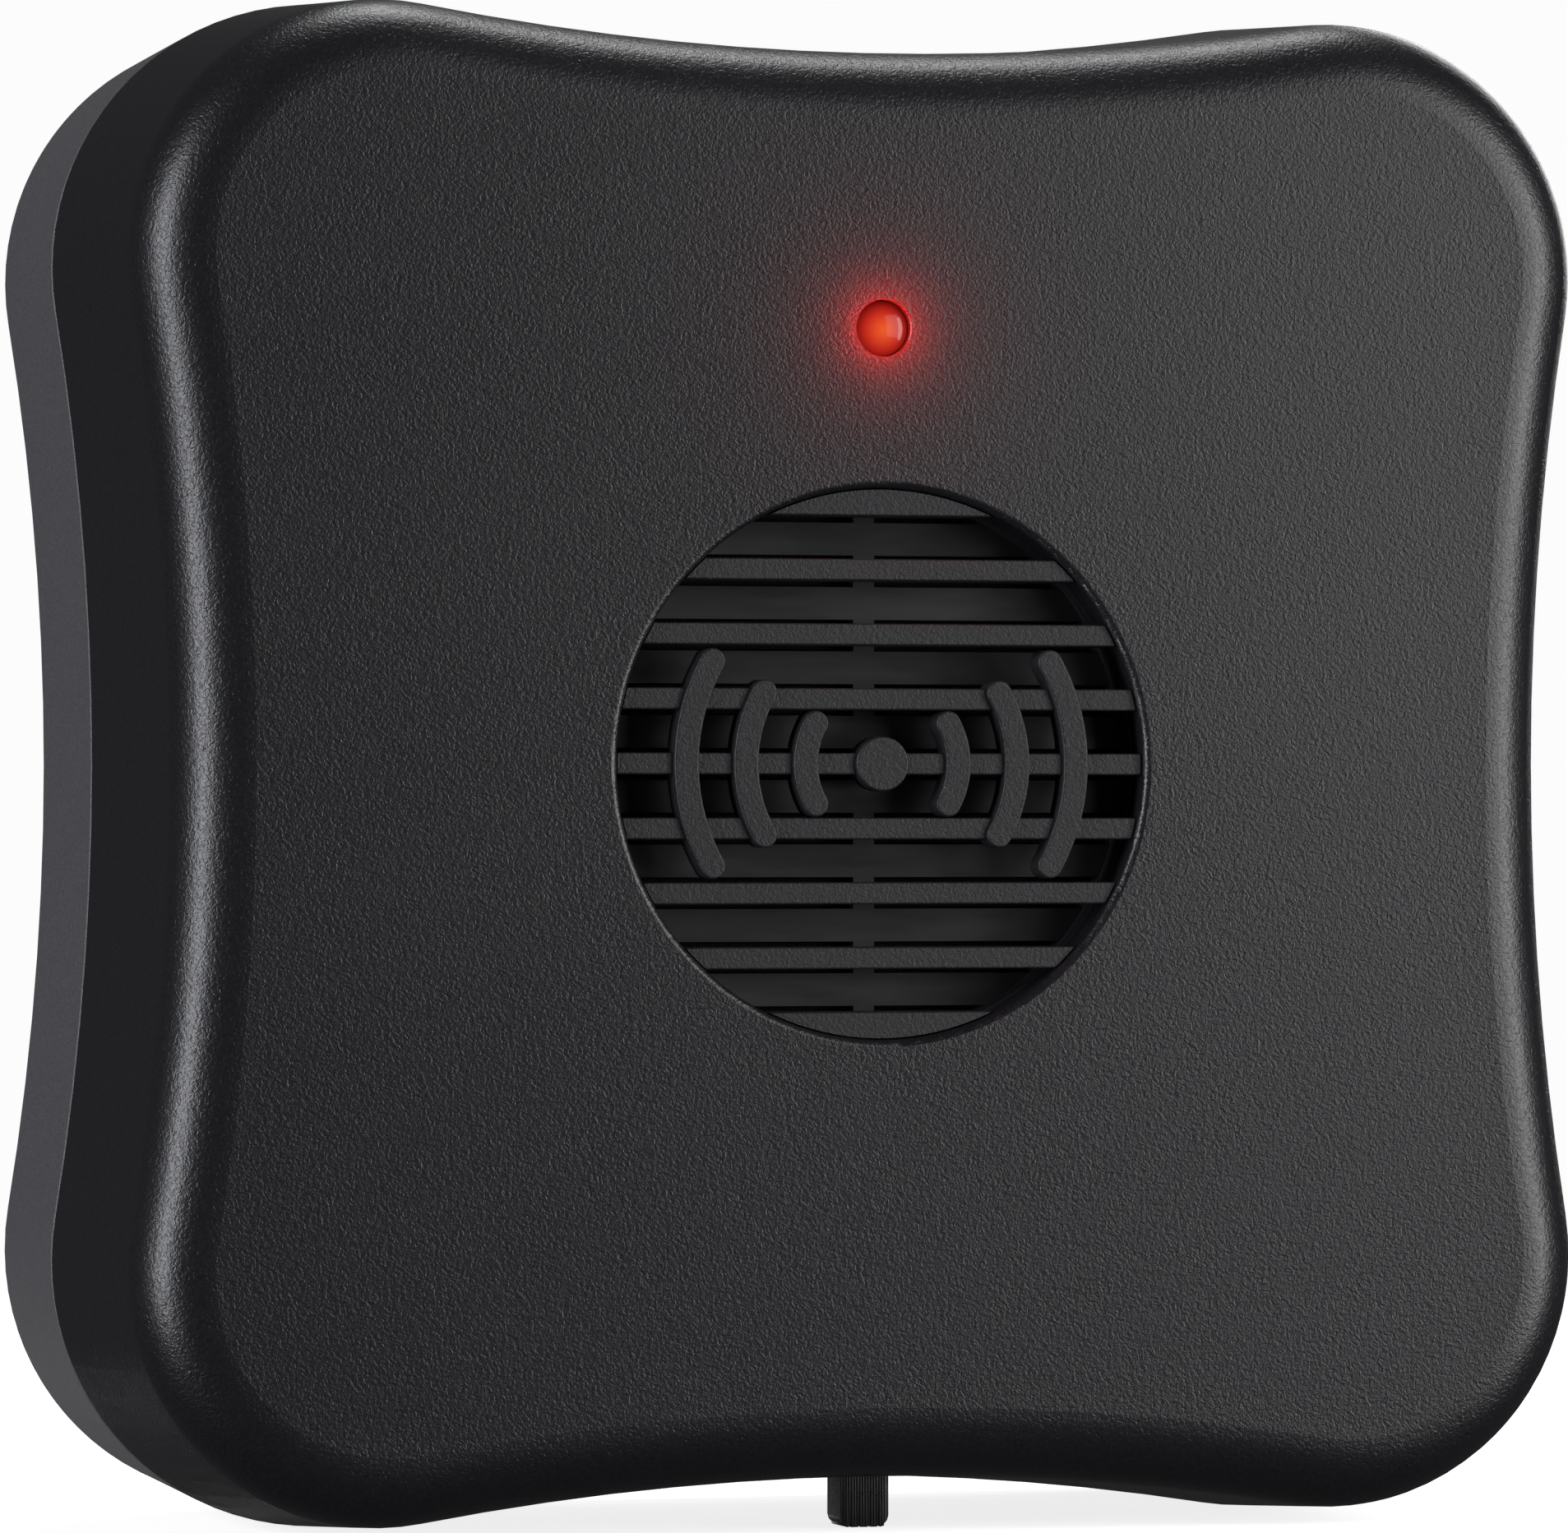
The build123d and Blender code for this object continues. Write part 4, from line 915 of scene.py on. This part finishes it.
    def build(self) -> None:
        """Make the knob and dress the switch behind it."""
        keep(self.knob(), Body.KNOB, KNOB_ACETAL, ("switch_knob",))
        INNER_ABS.to("switch_actuator")
        STEEL.to("switch_can")
        PHENOLIC.to("switch_base")
        TINNED.to(*[f"switch_pin_{i + 1}" for i in range(self.pin_count)])


@dataclass
class Transducer:
    """The piezo speaker in its housing."""

    screw_count: int = 3

    def build(self) -> None:
        """Dress the speaker's own parts and its wires."""
        GASKET_FOAM.to("transducer_gasket")
        SHADE_CLOTH.to("dust_cloth")
        INNER_ABS.to("transducer_housing")
        BRASS.to("piezo_plate")
        CERAMIC.to("piezo_ceramic")
        CONE_PAINTED_SHADE.to("transducer_cone")
        RED_WIRE.to("transducer_wire_red")
        BLACK_WIRE.to("transducer_wire_black")
        ZINC.to(*[f"transducer_screw_{i + 1}" for i in range(self.screw_count)])


@dataclass
class CircuitBoard:
    """The circuit board and what is soldered to it. Sizes are in millimetres."""

    screw_count: int = 4
    resistor_x: float = -14.0
    resistor_length: float = 7.0
    bands: ClassVar[Stops] = (
        (0.0, "b9b9b6"), (0.26, "d2b98a"), (0.34, "7a3b1d"), (0.4, "d2b98a"),
        (0.46, "1c1c1c"), (0.52, "d2b98a"), (0.58, "b3261e"), (0.64, "d2b98a"),
        (0.69, "b8902f"), (0.73, "d2b98a"), (0.75, "b9b9b6"))

    def build(self) -> None:
        """Dress the board and its parts."""
        LAMINATE.to("circuit_board")
        CHIP_EPOXY.to("control_chip", "transistor_1", "transistor_2")
        TINNED.to("chip_legs")
        FERRITE.to("coil_core")
        COPPER.to("coil_winding")
        ALUMINIUM.to("capacitor_1", "capacitor_2")
        banded = BandedFilm("lacquer_resistor_banded", "d2b98a", 0.3, self.bands,
                            self.resistor_x, self.resistor_length, "X")
        banded.to("resistor_1", "resistor_2")
        ZINC.to(*[f"board_screw_{i + 1}" for i in range(self.screw_count)])


@dataclass
class BatteryBay:
    """Three cells, their springs and contacts, and the door that closes the bay."""

    cell_count: int = 3
    turned_cell: int = 1
    sleeve_colour: str = "1d222b"
    band_colour: str = "b0703a"
    band_share: float = 0.2

    def build(self) -> None:
        """Dress the cells, contacts and door. The turned cell stands upside down."""
        for i in range(self.cell_count):
            low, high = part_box(f"cell_sleeve_{i + 1}")
            if i == self.turned_cell:
                colours = ((0.0, self.band_colour), (self.band_share, self.sleeve_colour))
            else:
                colours = ((0.0, self.sleeve_colour), (1.0 - self.band_share, self.band_colour))
            sleeve = BandedFilm(f"film_shrunk_plain_{i + 1}", self.sleeve_colour, 0.3, colours,
                                low.z / MM, (high.z - low.z) / MM, "Z")
            sleeve.to(f"cell_sleeve_{i + 1}")
            NICKEL.to(f"cell_{i + 1}", f"cell_spring_{i + 1}")
        NICKEL.to("contact_positive", "contact_negative", "contact_link_top",
                  "contact_link_bottom")
        REAR_ABS.to("battery_door")


# ---- Studio -----------------------------------------------------------------
@dataclass(frozen=True)
class Softbox:
    """A rectangular soft light aimed at the middle of the case.

    Attributes:
        name: Its name.
        place: Where it stands, in metres.
        size: Its width and height, in metres.
        radiance: Its brightness.
        colour: Its colour as sRGB hex.
    """

    name: str
    place: Triple
    size: Span
    radiance: float
    colour: str = "ffffff"

    def build(self, target: Vector) -> None:
        """Add the light.

        Args:
            target: The point that it faces.
        """
        light = bpy.data.lights.new(self.name, "AREA")
        light.shape = "RECTANGLE"
        light.size, light.size_y = self.size
        light.energy = self.radiance * math.pi * self.size[0] * self.size[1]
        light.color = linear(self.colour)[:3]
        lamp = bpy.data.objects.new(self.name, light)
        bpy.context.scene.collection.objects.link(lamp)
        lamp.location = self.place
        lamp.rotation_euler = (target - Vector(self.place)).to_track_quat("-Z", "Y").to_euler()
        lamp.visible_camera = False


@dataclass
class Studio:
    """A pale floor, a white surround, soft lights and the camera. Sizes are in metres."""

    target: Vector = field(default_factory=lambda: Vector((0.0, 0.0, 0.0425)))
    softboxes: tuple[Softbox, ...] = (
        Softbox("softbox_top", (0.06, 0.11, 0.43), (0.16, 0.16), 7.5),
        Softbox("softbox_key", (0.27, -0.35, 0.12), (0.22, 0.33), 2.9),
        Softbox("softbox_right_front", (0.85, -0.55, 0.12), (0.2, 0.7), 10.0),
        Softbox("softbox_left_strip", (-0.93, -0.30, 0.16), (0.2, 0.8), 16.0, "f8f9ff"),
        Softbox("softbox_rear", (0.75, 0.95, 0.45), (0.5, 0.7), 4.0),
        Softbox("softbox_low_rear", (0.05, 0.9, -0.09), (0.22, 0.15), 2.2),
    )
    camera_place: Triple = (-0.153001, -0.499502, 0.038837)
    camera_turn: Triple = (90.3983, 0.0, -16.9823)
    lens_mm: float = 211.92
    sensor_mm: float = 36.0
    clip: Span = (0.01, 50.0)
    floor_half: float = 1.2
    floor_fade: Span = (0.10, 0.40)
    floor_light: float = 0.82
    surround_radius: float = 3.0
    world_strength: float = 0.05
    glow_place: Triple = (0.0, -0.0187, 0.0664)
    glow_radius: float = 0.001
    glow_energy: float = 0.014
    glow_colour: str = "ff2418"

    def floor(self) -> None:
        """Lay a pale floor under the object. It fades outwards and is clear from below."""
        bpy.ops.object.select_all(action="DESELECT")
        bpy.ops.mesh.primitive_plane_add(size=2 * self.floor_half, location=(0, 0, 0))
        floor = bpy.context.object
        floor.name = "studio_floor"
        made = bpy.data.materials.new("paper_pale_seamless")
        made.use_nodes = True
        tree = made.node_tree
        shader = tree.nodes["Principled BSDF"]
        shader.inputs["Base Color"].default_value = linear("f2f2f2")
        shader.inputs["Roughness"].default_value = 0.9
        shader.inputs["Specular IOR Level"].default_value = 0.1
        shader.inputs["Emission Color"].default_value = linear("ffffff")
        shader.inputs["Emission Strength"].default_value = self.floor_light
        place = add_node(tree, "ShaderNodeTexCoord").outputs["Object"]
        reach = add_node(tree, "ShaderNodeVectorMath", {0: place},
                         operation="LENGTH").outputs["Value"]
        shown = add_node(tree, "ShaderNodeMapRange",
                         {"Value": reach, "From Min": self.floor_fade[0],
                          "From Max": self.floor_fade[1], "To Min": 1.0, "To Max": 0.0},
                         interpolation_type="SMOOTHSTEP")
        under = add_node(tree, "ShaderNodeNewGeometry").outputs["Backfacing"]
        seen = add_node(tree, "ShaderNodeMath", {0: shown.outputs["Result"], 1: under},
                        operation="SUBTRACT", use_clamp=True)
        tree.links.new(seen.outputs[0], shader.inputs["Alpha"])
        floor.data.materials.append(made)
        for kind in ("diffuse", "glossy", "shadow"):
            setattr(floor, f"visible_{kind}", False)

    def backdrop(self) -> None:
        """Hang a white surround far behind everything. It only shows; it lights nothing."""
        bpy.ops.object.select_all(action="DESELECT")
        bpy.ops.mesh.primitive_uv_sphere_add(segments=64, ring_count=32,
                                             radius=self.surround_radius)
        surround = bpy.context.object
        surround.name = "studio_backdrop"
        made = bpy.data.materials.new("backdrop_white")
        made.use_nodes = True
        shader = made.node_tree.nodes["Principled BSDF"]
        shader.inputs["Base Color"].default_value = linear("000000")
        shader.inputs["Emission Color"].default_value = linear("fbfbfb")
        shader.inputs["Emission Strength"].default_value = 1.0
        surround.data.materials.append(made)
        for kind in ("diffuse", "glossy", "transmission", "volume_scatter", "shadow"):
            setattr(surround, f"visible_{kind}", False)

    def world(self) -> None:
        """Fill the room with a faint even light, and show colours as they are."""
        world = bpy.data.worlds.new("studio_surround")
        world.use_nodes = True
        bpy.context.scene.world = world
        shade = world.node_tree.nodes["Background"]
        shade.inputs["Color"].default_value = linear("f4f4f6")
        shade.inputs["Strength"].default_value = self.world_strength
        bpy.context.scene.view_settings.view_transform = "Standard"

    def camera(self) -> None:
        """Stand the camera a little to the left, level with the case."""
        data = bpy.data.cameras.new("studio_camera")
        data.lens = self.lens_mm
        data.sensor_width = self.sensor_mm
        data.clip_start, data.clip_end = self.clip
        camera = bpy.data.objects.new("studio_camera", data)
        bpy.context.scene.collection.objects.link(camera)
        camera.location = self.camera_place
        camera.rotation_euler = tuple(math.radians(a) for a in self.camera_turn)
        bpy.context.scene.camera = camera

    def lamp_glow(self) -> None:
        """Let the lit lamp throw a small red light on the face round it."""
        light = bpy.data.lights.new("lamp_glow", "POINT")
        light.energy = self.glow_energy
        light.color = linear(self.glow_colour)[:3]
        light.shadow_soft_size = self.glow_radius
        glow = bpy.data.objects.new("lamp_glow", light)
        bpy.context.scene.collection.objects.link(glow)
        glow.location = self.glow_place
        glow.visible_camera = False
        glow.visible_glossy = False

    def build(self) -> None:
        """Set up the whole studio."""
        self.floor()
        self.backdrop()
        self.world()
        for softbox in self.softboxes:
            softbox.build(self.target)
        self.lamp_glow()
        self.camera()


def main() -> None:
    """Build and dress the object's sub-assemblies, then the studio."""
    logging.basicConfig(level=logging.INFO, format="%(name)s: %(message)s")
    for part in (Case(), Grille(), Lamp(), SlideSwitch(), Transducer(), CircuitBoard(),
                 BatteryBay(), Studio()):
        LOG.info("building %s", type(part).__name__)
        part.build()


if __name__ == "__main__":
    main()
